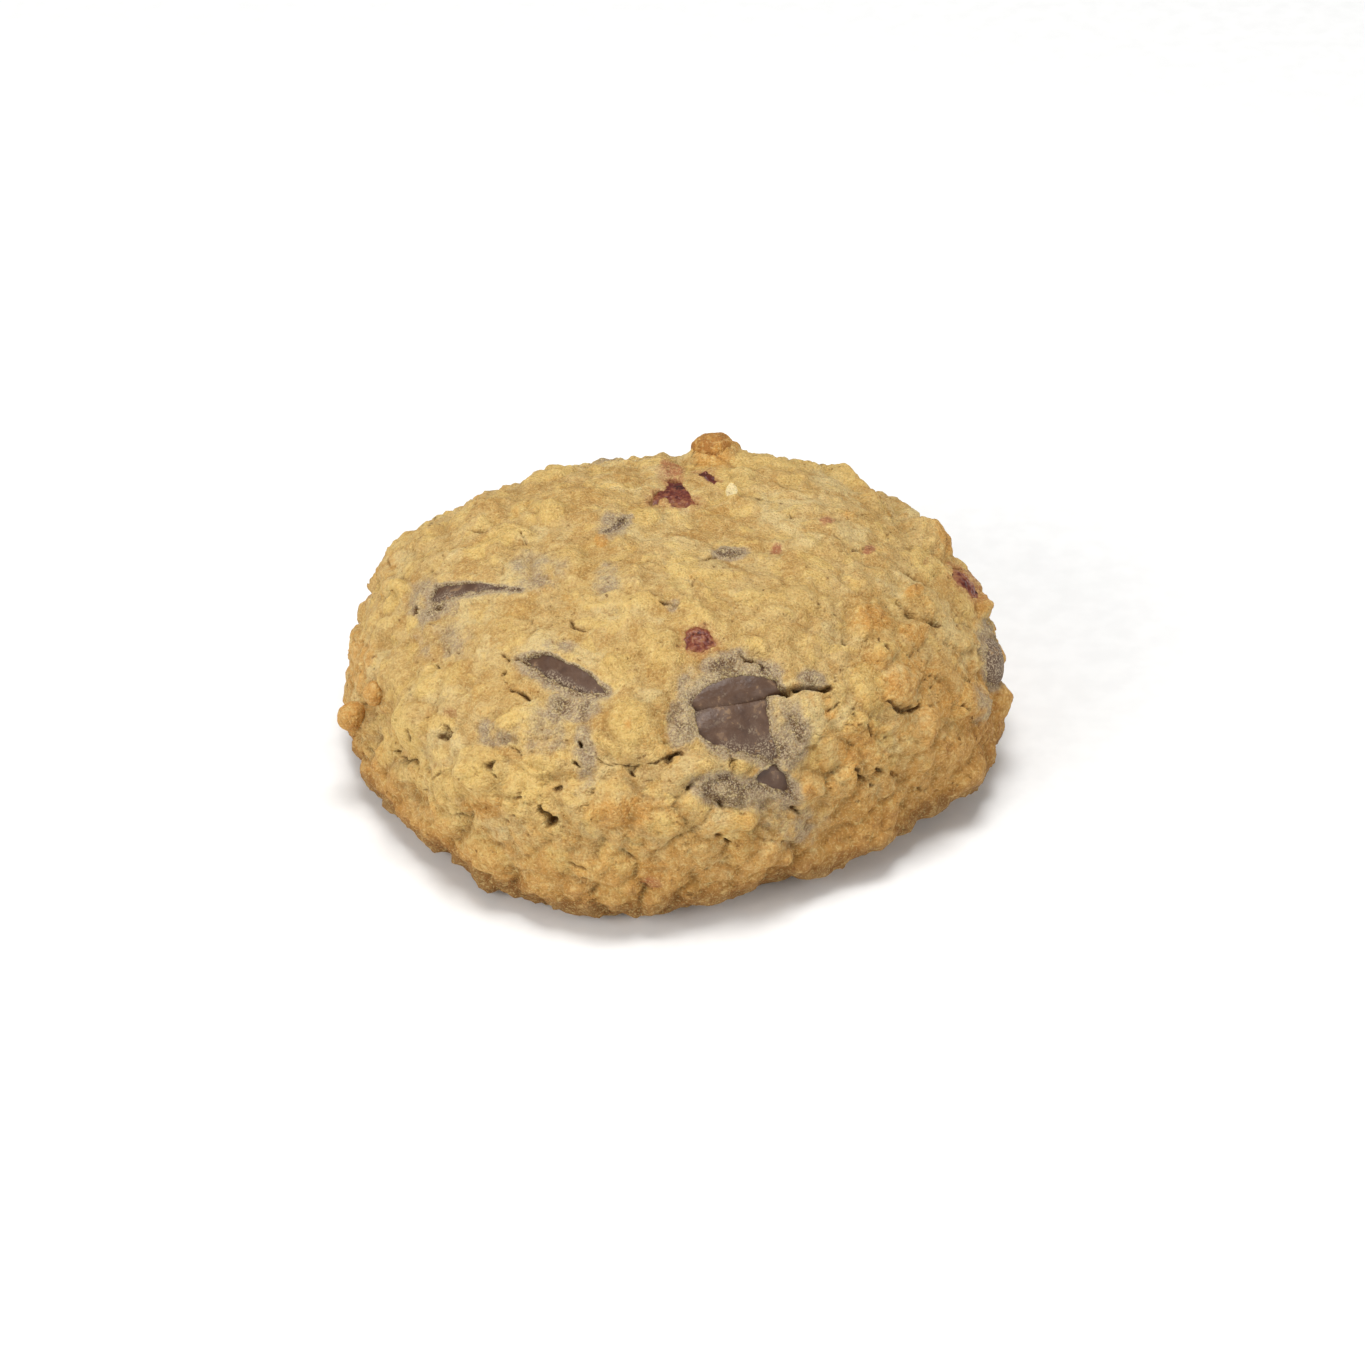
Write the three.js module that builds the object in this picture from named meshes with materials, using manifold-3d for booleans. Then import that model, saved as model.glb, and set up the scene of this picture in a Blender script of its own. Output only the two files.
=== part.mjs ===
// A strawberry cookie: a thick, domed, hand-dropped oat cookie with chocolate chunks and
// pieces of dried strawberry that show where its crust has parted.
// Millimetres, +Z up. The cookie rests on its flat baked underside at z = 0, and the origin
// is the middle of its bounding box at that height. A bearing is in degrees round +Z from
// +X. A fall is in degrees down from the summit: 0 is the top, 90 the widest line and 180
// the middle of the underside.
import * as THREE from "three";
import { mergeVertices } from "three/addons/utils/BufferGeometryUtils.js";
import Module from "manifold-3d";

const { degToRad, radToDeg, lerp, smoothstep } = THREE.MathUtils;

// Driving dimensions
const MEAN_RADIUS = 34.2;
const HEIGHT = 28.4; // of the smooth form, before its relief
const WIDEST_HEIGHT = 6.2; // where the side is furthest out
const SUNK_UNDERSIDE = 4.0; // how much of the rounded underside is cut away to rest flat
const TOP_POWER = 2.67; // superellipse powers: 2 is round, more is squarer
const BASE_POWER = 2.6;
const RIM_RISE = { x: 0.02, y: 0.005 }; // how the widest line climbs, in mm a mm
const BOX_MIDDLE = { x: 0.64, y: -1.41 }; // of the form as worked out below

// The plan is a circle with a few slow waves
const PLAN_WAVES = [
  { count: 2, height: 2.25, bearing: 10 },
  { count: 3, height: 1.1, bearing: 22 },
  { count: 4, height: 0.7, bearing: -21 },
];

// Slow swells over the whole crust
const SWELL = { waves: 7, longest: 30, shortest: 13, height: 1.1, seed: 41 };

// Crags that can be told apart: mounds of oats under the crust. along and across are their
// half widths, and turn is how far along stands from level.
const KNOWN_CRAGS = [
  { bearing: 261, fall: 45.5, along: 4.6, across: 4.2, height: 1.3, turn: 70 },
  { bearing: 284.5, fall: 71.2, along: 1.9, across: 1.9, height: 1.8, turn: 0 },
  { bearing: 288, fall: 56.8, along: 2.6, across: 1.4, height: 1.4, turn: 12 },
  { bearing: 276.5, fall: 56, along: 3.4, across: 1.6, height: 1.2, turn: -10 },
  { bearing: 256.5, fall: 65.2, along: 4.4, across: 3.2, height: 1.5, turn: 0 },
  { bearing: 268, fall: 69, along: 3.4, across: 2.8, height: 1.3, turn: 20 },
  { bearing: 259, fall: 84, along: 2.8, across: 2.4, height: 1.2, turn: 0 },
  { bearing: 270, fall: 88, along: 2.4, across: 2.2, height: 1.1, turn: 0 },
  { bearing: 234.5, fall: 87, along: 3.6, across: 2.2, height: 1.9, turn: 10 },
  { bearing: 232, fall: 65, along: 3.8, across: 3.2, height: 1.4, turn: 30 },
  { bearing: 211, fall: 61, along: 4.4, across: 3.8, height: 1.6, turn: 60 },
  { bearing: 237, fall: 48, along: 4.2, across: 2.4, height: 0.8, turn: 0 },
  { bearing: 246, fall: 51, along: 4.8, across: 3.4, height: 1.0, turn: 10 },
  { bearing: 226, fall: 82, along: 3.4, across: 2.6, height: 1.6, turn: 0 },
  { bearing: 215, fall: 96, along: 4.4, across: 3.0, height: 1.5, turn: 0 },
  { bearing: 333.5, fall: 40, along: 3.2, across: 2.6, height: 0.9, turn: 0 },
  { bearing: 328.5, fall: 46.5, along: 2.4, across: 2.2, height: 1.0, turn: 0 },
  { bearing: 326.5, fall: 55.5, along: 2.9, across: 2.5, height: 1.4, turn: 0 },
  { bearing: 311, fall: 82, along: 3.4, across: 2.4, height: 1.2, turn: 0 },
  { bearing: 314, fall: 98, along: 5.0, across: 3.4, height: 1.7, turn: 0 },
  { bearing: 16, fall: 49, along: 3.8, across: 3.0, height: 2.0, turn: 0 },
  { bearing: 5, fall: 63, along: 2.4, across: 2.2, height: 1.6, turn: 0 },
  { bearing: 354.5, fall: 86, along: 2.2, across: 2.0, height: 1.6, turn: 0 },
  { bearing: 345, fall: 76, along: 2.6, across: 2.4, height: 1.3, turn: 0 },
  { bearing: 234, fall: 14, along: 4.4, across: 2.8, height: 0.6, turn: 0 },
  { bearing: 198, fall: 20, along: 4.0, across: 3.0, height: 0.5, turn: 20 },
  { bearing: 76, fall: 38.5, along: 4.4, across: 3.6, height: 1.9, turn: 0 },
  { bearing: 64, fall: 37, along: 5.6, across: 3.4, height: 1.1, turn: 0 },
  { bearing: 153, fall: 37, along: 5.4, across: 3.8, height: 1.6, turn: 0 },
  { bearing: 128, fall: 38, along: 3.2, across: 2.4, height: 0.9, turn: 0 },
  { bearing: 44, fall: 45, along: 4.0, across: 2.6, height: 1.4, turn: 0 },
];

// The other crags are drawn by chance, and are lower on the calm top
const STRAY_CRAGS = {
  count: 340,
  seed: 2051,
  falls: [10, 112],
  along: [1.7, 3.9],
  acrossShare: [0.55, 0.95],
  height: [0.4, 1.35],
  topShare: 0.35, // of the height that is left on the top
  topFalls: [20, 75], // between which the top gives way to the craggy side
};

// Bits of oat and dough that stand clear of the crust, baked on to it
const NODULES = [
  { bearing: 76.5, fall: 38, radii: [2.6, 2.4, 2.2], stand: 0.9, turn: 0 },
  { bearing: 194, fall: 77, radii: [1.5, 1.75, 1.6], stand: 0.9, turn: 0 },
  { bearing: 197, fall: 67, radii: [1.4, 1.5, 1.2], stand: 0.5, turn: 0 },
];

// Chocolate chunks and strawberry pieces, each in its own pocket. size is along, across and
// thick, below is how far the top lies under the smooth crust, dimple is how far the crust
// dips where it has parted over the piece, and lean tips the piece downhill.
const CHOCOLATE = {
  chocolate_front_upper: {
    bearing: 288.4, fall: 41.6, turn: 2, size: [10.0, 3.6, 3.2], below: -0.3, dimple: 0.7, lean: 4,
  },
  chocolate_front_lower: {
    bearing: 286.4, fall: 52.2, turn: 0, size: [9.6, 6.0, 3.2], below: 0.2, dimple: 0.9,
  },
  chocolate_front_low: {
    bearing: 290.6, fall: 64, turn: -10, size: [4.8, 2.8, 2.4], below: 0.25, dimple: 0.8,
  },
  chocolate_left: {
    bearing: 244.2, fall: 36.6, turn: -8, size: [8.2, 3.8, 3.2], below: 0.2, dimple: 1.0, lean: 8,
  },
  chocolate_far_left: {
    bearing: 192, fall: 38.4, turn: 76, size: [7.4, 2.4, 3.0], below: 0.35, dimple: 1.1,
  },
  chocolate_right_edge: {
    bearing: 354.8, fall: 71.5, turn: 30, size: [4.8, 4.6, 3.4], below: -1.7, dimple: 0.6,
  },
  chocolate_top: {
    bearing: 150, fall: 10.6, turn: 100, size: [4.2, 2.2, 2.4], below: 0.3, dimple: 0.8,
  },
  chocolate_back: {
    bearing: 128, fall: 60, turn: 24, size: [8.4, 5.6, 3.2], below: 0.1, dimple: 0.9, lean: 6,
  },
  chocolate_back_low: {
    bearing: 52, fall: 70, turn: -30, size: [6.4, 4.8, 3.2], below: 0, dimple: 0.8,
  },
};
const STRAWBERRY = {
  strawberry_top: {
    bearing: 86.5, fall: 20.2, turn: -8, size: [6.8, 4.6, 2.8], below: 0.1, dimple: 0.8,
  },
  strawberry_top_small: {
    bearing: 74, fall: 26.2, turn: 10, size: [3.6, 1.8, 2.0], below: 0.1, dimple: 0.6,
  },
  strawberry_front: {
    bearing: 280.5, fall: 29.6, turn: 0, size: [3.8, 4.2, 2.6], below: -0.1, dimple: 0.6,
  },
  strawberry_right_edge: {
    bearing: 5.4, fall: 56.4, turn: 0, size: [4.4, 4.8, 3.0], below: -1.1, dimple: 0.4,
  },
  strawberry_back: {
    bearing: 92, fall: 64, turn: 15, size: [5.6, 4.4, 2.8], below: 0, dimple: 0.7,
  },
  strawberry_back_left: {
    bearing: 160, fall: 66, turn: 40, size: [4.2, 3.4, 2.6], below: 0, dimple: 0.7,
  },
};
const POCKET_GAP = 0.3; // between a piece and the dough round it
const DIMPLE_SKIRT = 1.7; // how far past its piece a dimple reaches
const DIMPLE_FLOOR = 0.5; // how much of a dimple's reach is its full depth
const CHUNK_FORM = { power: 3.4, dent: 0.05, dentLength: 1.3 };
const FRUIT_FORM = { power: 2.2, dent: 0.11, dentLength: 0.9 };

// Splits in the crust
const SPLITS = [
  { bearing: 303, fall: 46.3, length: 7.6, gape: 0.9, depth: 1.8, turn: -10 },
  { bearing: 231, fall: 38.2, length: 4.2, gape: 0.6, depth: 1.1, turn: 8 },
  { bearing: 248, fall: 68.4, length: 2.8, gape: 1.1, depth: 2.0, turn: -60 },
  { bearing: 324.5, fall: 59, length: 4.4, gape: 0.8, depth: 1.5, turn: 6 },
  { bearing: 342, fall: 43.4, length: 2.4, gape: 0.7, depth: 1.4, turn: -50 },
  { bearing: 210.5, fall: 71.5, length: 3.6, gape: 0.8, depth: 1.5, turn: -20 },
  { bearing: 265, fall: 55.2, length: 5.4, gape: 0.6, depth: 1.1, turn: 8 },
];

// How finely each solid is faceted, as an icosahedron's detail
const DETAIL = { dough: 17, piece: 2, nodule: 2, split: 1 };
const TOP_FACETS = 0.35; // how strongly the dough's facets gather on its upper side, in radians

const FINISHES = {
  dough: new THREE.MeshStandardMaterial({ color: 0xcda867, roughness: 0.85, metalness: 0 }),
  chocolate: new THREE.MeshStandardMaterial({ color: 0x5f4740, roughness: 0.5, metalness: 0 }),
  strawberry: new THREE.MeshStandardMaterial({ color: 0x7a2f2f, roughness: 0.45, metalness: 0 }),
};

const wasm = await Module();
wasm.setup();

// Park and Miller's generator, so that each run draws the same crags
function drawsFrom(seed) {
  const MULTIPLIER = 16807;
  const MODULUS = 2147483647;
  let state = seed;
  return (low, high) => {
    state = (state * MULTIPLIER) % MODULUS;
    return low + ((high - low) * state) / MODULUS;
  };
}

// A point of the smooth form: a superellipse dome on the waved plan. Angles in radians.
function smoothPoint(bearing, fall) {
  const wave = (sum, w) => sum + w.height * Math.cos(w.count * (bearing - degToRad(w.bearing)));
  const radius = PLAN_WAVES.reduce(wave, MEAN_RADIUS);
  const side = Math.sin(fall);
  const rise = Math.cos(fall);
  const power = rise >= 0 ? TOP_POWER : BASE_POWER;
  const reach = (Math.abs(side) ** power + Math.abs(rise) ** power) ** (-1 / power);
  const x = radius * reach * side * Math.cos(bearing);
  const y = radius * reach * side * Math.sin(bearing);
  const middle = WIDEST_HEIGHT + RIM_RISE.x * x + RIM_RISE.y * y;
  const span = rise >= 0 ? HEIGHT - WIDEST_HEIGHT : WIDEST_HEIGHT + SUNK_UNDERSIDE;
  return new THREE.Vector3(x - BOX_MIDDLE.x, y - BOX_MIDDLE.y, middle + span * reach * rise);
}

// The smooth form's frame at a place: level along the side, uphill, and out of the crust
function frameAt(bearing, fall) {
  const STEP = 0.002;
  const level = new THREE.Vector3(-Math.sin(bearing), Math.cos(bearing), 0);
  const down = smoothPoint(bearing, fall + STEP).sub(smoothPoint(bearing, fall - STEP));
  const round = smoothPoint(bearing + STEP, fall).sub(smoothPoint(bearing - STEP, fall));
  const out = down.cross(round).normalize();
  const along = level.projectOnPlane(out).normalize();
  return { at: smoothPoint(bearing, fall), along, uphill: out.clone().cross(along), out };
}

// The frame of a crag, piece or split, turned about the outward direction
function placeOf({ bearing, fall, turn }) {
  const place = frameAt(degToRad(bearing), degToRad(fall));
  place.along.applyAxisAngle(place.out, degToRad(turn));
  place.uphill.applyAxisAngle(place.out, degToRad(turn));
  return place;
}

// How far a point lies from a place, squared, in its half widths
function spread(place, along, across, point) {
  const off = point.clone().sub(place.at);
  const deep = off.dot(place.out) / along;
  return (off.dot(place.along) / along) ** 2 + (off.dot(place.uphill) / across) ** 2 + deep ** 2;
}

function swellWaves() {
  const draw = drawsFrom(SWELL.seed);
  return Array.from({ length: SWELL.waves }, (_, i) => {
    const length = lerp(SWELL.longest, SWELL.shortest, i / (SWELL.waves - 1));
    const way = new THREE.Vector3(draw(-1, 1), draw(-1, 1), draw(-1, 1));
    return { way: way.setLength((2 * Math.PI) / length), phase: draw(0, 2 * Math.PI) };
  });
}

function strayCrags() {
  const draw = drawsFrom(STRAY_CRAGS.seed);
  const [top, bottom] = STRAY_CRAGS.falls.map((fall) => Math.cos(degToRad(fall)));
  return Array.from({ length: STRAY_CRAGS.count }, () => {
    const bearing = draw(0, 360);
    const fall = radToDeg(Math.acos(draw(bottom, top)));
    const along = draw(...STRAY_CRAGS.along);
    const across = along * draw(...STRAY_CRAGS.acrossShare);
    const share = lerp(STRAY_CRAGS.topShare, 1, smoothstep(fall, ...STRAY_CRAGS.topFalls));
    const height = share * draw(...STRAY_CRAGS.height);
    return { bearing, fall, along, across, height, turn: draw(0, 180) };
  });
}

const pieces = { ...CHOCOLATE, ...STRAWBERRY };
const swells = swellWaves();
const strays = strayCrags().map((crag) => ({ ...crag, place: placeOf(crag) }));
const known = KNOWN_CRAGS.map((crag) => ({ ...crag, place: placeOf(crag) }));
const dimples = Object.values(pieces).map((piece) => ({ ...piece, place: placeOf(piece) }));

// The tallest of some crags at a point, or the floor they stand on. Neighbours meet in a crease.
function tallest(crags, point, floor) {
  const height = (c) => c.height * (1 - spread(c.place, c.along, c.across, point));
  return crags.reduce((most, c) => Math.max(most, height(c)), floor);
}

// How far the crust stands out from the smooth form at a point of it
function relief(point) {
  const swell = swells.reduce((sum, w) => sum + Math.sin(w.way.dot(point) + w.phase), 0);
  let height = tallest(strays, point, 0);
  for (const d of dimples) {
    const [along, across] = d.size.map((width) => width / 2 + DIMPLE_SKIRT);
    const far = Math.sqrt(spread(d.place, along, across, point));
    height = lerp(-d.dimple, height, smoothstep(far, DIMPLE_FLOOR, 1));
  }
  return (SWELL.height * swell) / SWELL.waves + tallest(known, point, height);
}

// A ball of even facets whose vertices are moved by a function
function shapedBall(detail, move) {
  const ball = new THREE.IcosahedronGeometry(1, detail);
  ball.deleteAttribute("normal");
  ball.deleteAttribute("uv");
  const shaped = mergeVertices(ball);
  const position = shaped.getAttribute("position");
  for (let i = 0; i < position.count; i++) {
    const moved = move(new THREE.Vector3().fromBufferAttribute(position, i));
    position.setXYZ(i, moved.x, moved.y, moved.z);
  }
  return shaped;
}

function doughGeometry() {
  return shapedBall(DETAIL.dough, (way) => {
    const even = Math.acos(THREE.MathUtils.clamp(way.z, -1, 1));
    const fall = even - TOP_FACETS * Math.sin(even) ** 2;
    const { at, out } = frameAt(Math.atan2(way.y, way.x), fall);
    return at.addScaledVector(out, relief(at));
  });
}

// A blocky or rounded lump with shallow dents, half is its half sizes
function lumpGeometry(detail, half, { power, dent, dentLength }) {
  return shapedBall(detail, (way) => {
    const powers = way.toArray().reduce((sum, c) => sum + Math.abs(c) ** power, 0);
    const at = way.clone().multiplyScalar(powers ** (-1 / power)).multiply(half);
    const dents = Math.sin(at.x / dentLength + 1) * Math.sin(at.y / dentLength + 2);
    return at.multiplyScalar(1 + dent * dents * Math.cos(at.z / dentLength));
  });
}

function solidOf(geometry) {
  const vertProperties = new Float32Array(geometry.getAttribute("position").array);
  const triVerts = new Uint32Array(geometry.index.array);
  return new wasm.Manifold(new wasm.Mesh({ numProp: 3, vertProperties, triVerts }));
}

function geometryOf(solid) {
  const { vertProperties, triVerts } = solid.getMesh();
  const geometry = new THREE.BufferGeometry();
  geometry.setAttribute("position", new THREE.BufferAttribute(vertProperties, 3));
  geometry.setIndex(new THREE.BufferAttribute(triVerts, 1));
  geometry.computeVertexNormals();
  return geometry;
}

// The matrix that stands a lump at a place, raised out of the crust and leaning downhill
function standing(place, raised, lean = 0) {
  const axes = new THREE.Matrix4().makeBasis(place.along, place.uphill, place.out);
  const leaning = new THREE.Matrix4().makeRotationX(degToRad(lean));
  const at = place.at.clone().addScaledVector(place.out, raised);
  return axes.multiply(leaning).setPosition(at);
}

// A chunk or fruit piece, or its pocket when gap is given
function pieceGeometry({ size }, form, gap = 0) {
  const half = new THREE.Vector3(...size).divideScalar(2).addScalar(gap);
  return lumpGeometry(DETAIL.piece, half, form);
}

function pieceMatrix(piece) {
  return standing(placeOf(piece), -piece.below - piece.size[2] / 2, piece.lean);
}

function pieceMeshes(list, form, finish) {
  return Object.entries(list).map(([name, piece]) => {
    const mesh = new THREE.Mesh(pieceGeometry(piece, form), finish);
    mesh.name = name;
    mesh.applyMatrix4(pieceMatrix(piece));
    return mesh;
  });
}

function pockets(list, form) {
  return Object.values(list).map((piece) =>
    solidOf(pieceGeometry(piece, form, POCKET_GAP).applyMatrix4(pieceMatrix(piece))),
  );
}

function noduleSolid({ radii, stand, ...where }) {
  const geometry = lumpGeometry(DETAIL.nodule, new THREE.Vector3(...radii), FRUIT_FORM);
  return solidOf(geometry.applyMatrix4(standing(placeOf(where), stand)));
}

function splitSolid({ length, gape, depth, ...where }) {
  const place = placeOf(where);
  const half = new THREE.Vector3(length / 2, gape / 2, depth);
  const lens = shapedBall(DETAIL.split, (way) => way.multiply(half));
  return solidOf(lens.applyMatrix4(standing(place, relief(place.at))));
}

// What the table cuts away, so that the underside is flat
function underTable() {
  const side = 4 * MEAN_RADIUS;
  const block = new THREE.BoxGeometry(side, side, side).translate(0, 0, -side / 2);
  block.deleteAttribute("normal");
  block.deleteAttribute("uv");
  return solidOf(mergeVertices(block));
}

function doughMesh() {
  let dough = solidOf(doughGeometry());
  for (const nodule of NODULES) {
    dough = dough.add(noduleSolid(nodule));
  }
  const hollows = [...pockets(CHOCOLATE, CHUNK_FORM), ...pockets(STRAWBERRY, FRUIT_FORM)];
  for (const hollow of [...SPLITS.map(splitSolid), ...hollows, underTable()]) {
    dough = dough.subtract(hollow);
  }
  const [largest] = dough.decompose().sort((a, b) => b.volume() - a.volume());
  const mesh = new THREE.Mesh(geometryOf(largest), FINISHES.dough);
  mesh.name = "cookie_dough";
  return mesh;
}

const cookie = new THREE.Group();
cookie.name = "strawberry_cookie";
cookie.add(doughMesh());
cookie.add(...pieceMeshes(CHOCOLATE, CHUNK_FORM, FINISHES.chocolate));
cookie.add(...pieceMeshes(STRAWBERRY, FRUIT_FORM, FINISHES.strawberry));

export default cookie;
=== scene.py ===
"""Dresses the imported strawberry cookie: baked oat crust, chocolate chunks and dried strawberry.

Every length in the tables is in millimetres and every angle in degrees. A bearing goes round
+Z from +X, and a fall goes down from the summit: 0 is the top and 90 the widest line.
"""

import logging
import math
from dataclasses import dataclass, field
from enum import Enum
from functools import partial
from itertools import product
from typing import Any, Iterable, Sequence

import bpy
import numpy as np
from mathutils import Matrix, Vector


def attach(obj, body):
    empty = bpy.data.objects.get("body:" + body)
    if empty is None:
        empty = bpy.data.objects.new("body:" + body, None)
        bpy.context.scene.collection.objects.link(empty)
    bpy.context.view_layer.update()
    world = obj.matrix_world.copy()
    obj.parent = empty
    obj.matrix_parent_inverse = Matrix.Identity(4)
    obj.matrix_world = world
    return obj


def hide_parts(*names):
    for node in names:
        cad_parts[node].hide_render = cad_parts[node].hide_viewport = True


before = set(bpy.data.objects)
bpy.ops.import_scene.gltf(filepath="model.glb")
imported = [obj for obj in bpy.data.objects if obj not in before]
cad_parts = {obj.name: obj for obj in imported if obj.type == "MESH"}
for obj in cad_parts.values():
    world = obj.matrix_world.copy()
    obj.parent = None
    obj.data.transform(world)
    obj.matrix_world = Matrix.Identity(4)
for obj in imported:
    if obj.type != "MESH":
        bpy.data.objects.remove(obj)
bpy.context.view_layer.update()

LOG = logging.getLogger("strawberry_cookie")
MM = 0.001
FULL_TURN = 2 * math.pi
TINY = 1e-12

Array = np.ndarray
Pair = tuple[float, float]
Outline = tuple[Pair, ...]


def smoothstep(value: Array, low: float, high: float) -> Array:
    """Eases from 0 at low to 1 at high.

    Args:
        value: The numbers to ease.
        low: Where the result leaves 0.
        high: Where the result reaches 1.

    Returns:
        Numbers from 0 to 1.
    """
    share = np.clip((value - low) / (high - low), 0, 1)
    return share * share * (3 - 2 * share)


def mixed(first: Array, second: Array, share: Array) -> Array:
    """Goes from first to second as share goes from 0 to 1."""
    return first + (second - first) * share


def linear(code: str) -> tuple[float, float, float, float]:
    """Turns an sRGB hex colour to linear RGBA.

    Args:
        code: Six hex digits, such as "cda867".

    Returns:
        Linear red, green and blue, and an alpha of 1.
    """
    # The sRGB curve: a straight foot, then a power
    parts = [int(code[i : i + 2], 16) / 255 for i in (0, 2, 4)]
    flat = [c / 12.92 if c <= 0.04045 else ((c + 0.055) / 1.055) ** 2.4 for c in parts]
    return (flat[0], flat[1], flat[2], 1.0)


class Draws:
    """Repeatable chance: Park and Miller's generator."""

    MULTIPLIER = 16807
    MODULUS = 2147483647

    def __init__(self, seed: int) -> None:
        """Starts the row of draws at a seed."""
        self.state = seed

    def between(self, low: float, high: float) -> float:
        """Draws the next number between two bounds."""
        self.state = self.state * self.MULTIPLIER % self.MODULUS
        return low + (high - low) * self.state / self.MODULUS

    def table(self, rows: int, columns: int, low: float = 0) -> Array:
        """Draws rows of numbers between low and 1."""
        return np.array([[self.between(low, 1) for _ in range(columns)] for _ in range(rows)])


def lattice_codes(lattice: Array) -> Array:
    """Mixes the three whole numbers of each lattice corner into one."""
    return lattice[:, 0] * 73856093 ^ lattice[:, 1] * 19349663 ^ lattice[:, 2] * 83492791


@dataclass(frozen=True)
class SoftNoise:
    """Smooth noise in space, from about -1 to 1, with bumps of one size.

    Attributes:
        period: Distance from bump to bump.
        seed: Which noise it is.
    """

    period: float
    seed: int

    SLOPES = 256
    FIRST_SEED = 7919
    SEED_CODE = 40503
    SHIFT = 0.37
    GAIN = 1.7

    def slopes(self) -> Array:
        """Draws the table of unit slopes that the lattice picks from."""
        table = Draws(self.FIRST_SEED + self.seed).table(self.SLOPES, 3, -1)
        return table / np.linalg.norm(table, axis=1, keepdims=True)

    def at(self, points: Array) -> Array:
        """Reads the noise at some points.

        Args:
            points: Rows of x, y, z.

        Returns:
            One number a point.
        """
        table = self.slopes()
        cell = points / self.period + self.SHIFT * self.seed
        corner_of_cell = np.floor(cell).astype(np.int64)
        inside = cell - corner_of_cell
        ease = inside**3 * (inside * (inside * 6 - 15) + 10)
        total = np.zeros(len(points))
        for corner in product((0, 1), repeat=3):
            code = lattice_codes(corner_of_cell + np.array(corner))
            code = code ^ (code >> 11) ^ (self.seed * self.SEED_CODE)
            slope = table[code % self.SLOPES]
            weight = np.prod(np.where(corner, ease, 1 - ease), axis=1)
            total += weight * ((inside - np.array(corner)) * slope).sum(axis=1)
        return total * self.GAIN


@dataclass(frozen=True)
class Roughness:
    """Noises of halving size and height, added up.

    Attributes:
        height: About how far it goes up and down from 0.
        period: Distance from bump to bump in the coarsest noise.
        layers: How many noises there are.
        seed: Which noise the first one is.
    """

    height: float
    period: float
    layers: int
    seed: int

    GAIN = 1.3

    def at(self, points: Array) -> Array:
        """Reads it at some points.

        Args:
            points: Rows of x, y, z.

        Returns:
            One number a point.
        """
        total = np.zeros(len(points))
        reach = 0.0
        for i in range(self.layers):
            total += SoftNoise(self.period / 2**i, self.seed + i).at(points) / 2**i
            reach += 1 / 2**i
        return self.height * (total / reach * self.GAIN)


@dataclass(frozen=True)
class Grains:
    """Space cut into uneven cells, as oats and crumbs cut up the dough.

    Attributes:
        name: What the cells are.
        spacing: Mean distance from cell to cell.
        seed: Which cells they are.
        lift: How far a cell stands out or in.
        slope: How steeply a cell tips.
        dome: How far its middle stands over its border.
        soft: How far from its border a cell is rounded over.
        seam: Half the width of a gap between cells.
        depth: How deep the gaps are.
        parted: Share of the borders that have gaps.
    """

    name: str
    spacing: float
    seed: int
    lift: float
    slope: float
    dome: float
    soft: float
    seam: float
    depth: float
    parted: float

    CHANCES = 1021
    FIRST_SEED = 104729
    SHIFT = 0.41
    MARGIN = 0.1
    PLACE, LIFT, SLOPES, TONE = slice(0, 3), 3, slice(4, 7), 7
    DOME_REACH = 1.2
    # Painted shade beside a gap: its strength, and its reach in seam widths
    SHADE, SHADE_REACH = 0.3, 2.5

    def chances(self) -> Array:
        """Draws the table that cells pick from: place, lift, slopes and tone."""
        return Draws(self.FIRST_SEED + self.seed).table(self.CHANCES, 8)

    def cells(self, points: Array) -> tuple[Array, Array, Array]:
        """Finds the two nearest cells of each point.

        Args:
            points: Rows of x, y, z.

        Returns:
            For both cells: squared distances, offsets from their middles, and table rows.
        """
        table = self.chances()
        place = points / self.spacing + self.SHIFT * self.seed
        home = np.floor(place).astype(np.int64)
        far = np.full((2, len(points)), np.inf)
        off = np.zeros((2, len(points), 3))
        row = np.zeros((2, len(points)), np.int64)
        for corner in product((-1, 0, 1), repeat=3):
            lattice = home + np.array(corner)
            code = lattice_codes(lattice)
            code = (code ^ (code >> 13)) % self.CHANCES
            gap = place - lattice - self.MARGIN - (1 - 2 * self.MARGIN) * table[code, self.PLACE]
            reach = (gap**2).sum(axis=1)
            nearest = reach < far[0]
            second = ~nearest & (reach < far[1])
            for store, fresh in ((far, reach), (off, gap), (row, code)):
                store[1][nearest] = store[0][nearest]
                store[0][nearest] = fresh[nearest]
                store[1][second] = fresh[second]
        return far, off, row

    def relief(self, points: Array) -> tuple[Array, Array, Array]:
        """Shapes the cells.

        Args:
            points: Rows of x, y, z.

        Returns:
            Heights, each cell's tone from 0 to 1, and how far each point is in a gap or in the
            painted shade beside one.
        """
        far, off, row = self.cells(points)
        picks = self.chances()[row]
        border = (far[1] - far[0]) / (2 * np.linalg.norm(off[0] - off[1], axis=1)) * self.spacing
        tip = ((2 * picks[..., self.SLOPES] - 1) * off).sum(axis=2) * self.spacing * self.slope
        rise = self.lift * (2 * picks[..., self.LIFT] - 1) + tip
        tones = picks[..., self.TONE]
        share = np.maximum(smoothstep(border, -0.5 * self.soft, self.soft), 0.5)
        parted = (tones[0] + tones[1]) % 1 < self.parted
        gap = smoothstep(border, self.seam, 0) * parted
        height = mixed(rise[1], rise[0], share) - self.depth * gap
        height = height + self.dome * smoothstep(border, 0, self.DOME_REACH * self.soft)
        shade = self.SHADE * smoothstep(border, self.SHADE_REACH * self.seam, 0)
        gap = np.maximum(gap, shade)
        tone = mixed(tones[1], tones[0], share)
        return height, tone, gap


class Filling(Enum):
    """What is baked into the dough."""

    CHOCOLATE = "chocolate"
    STRAWBERRY = "strawberry"


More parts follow.
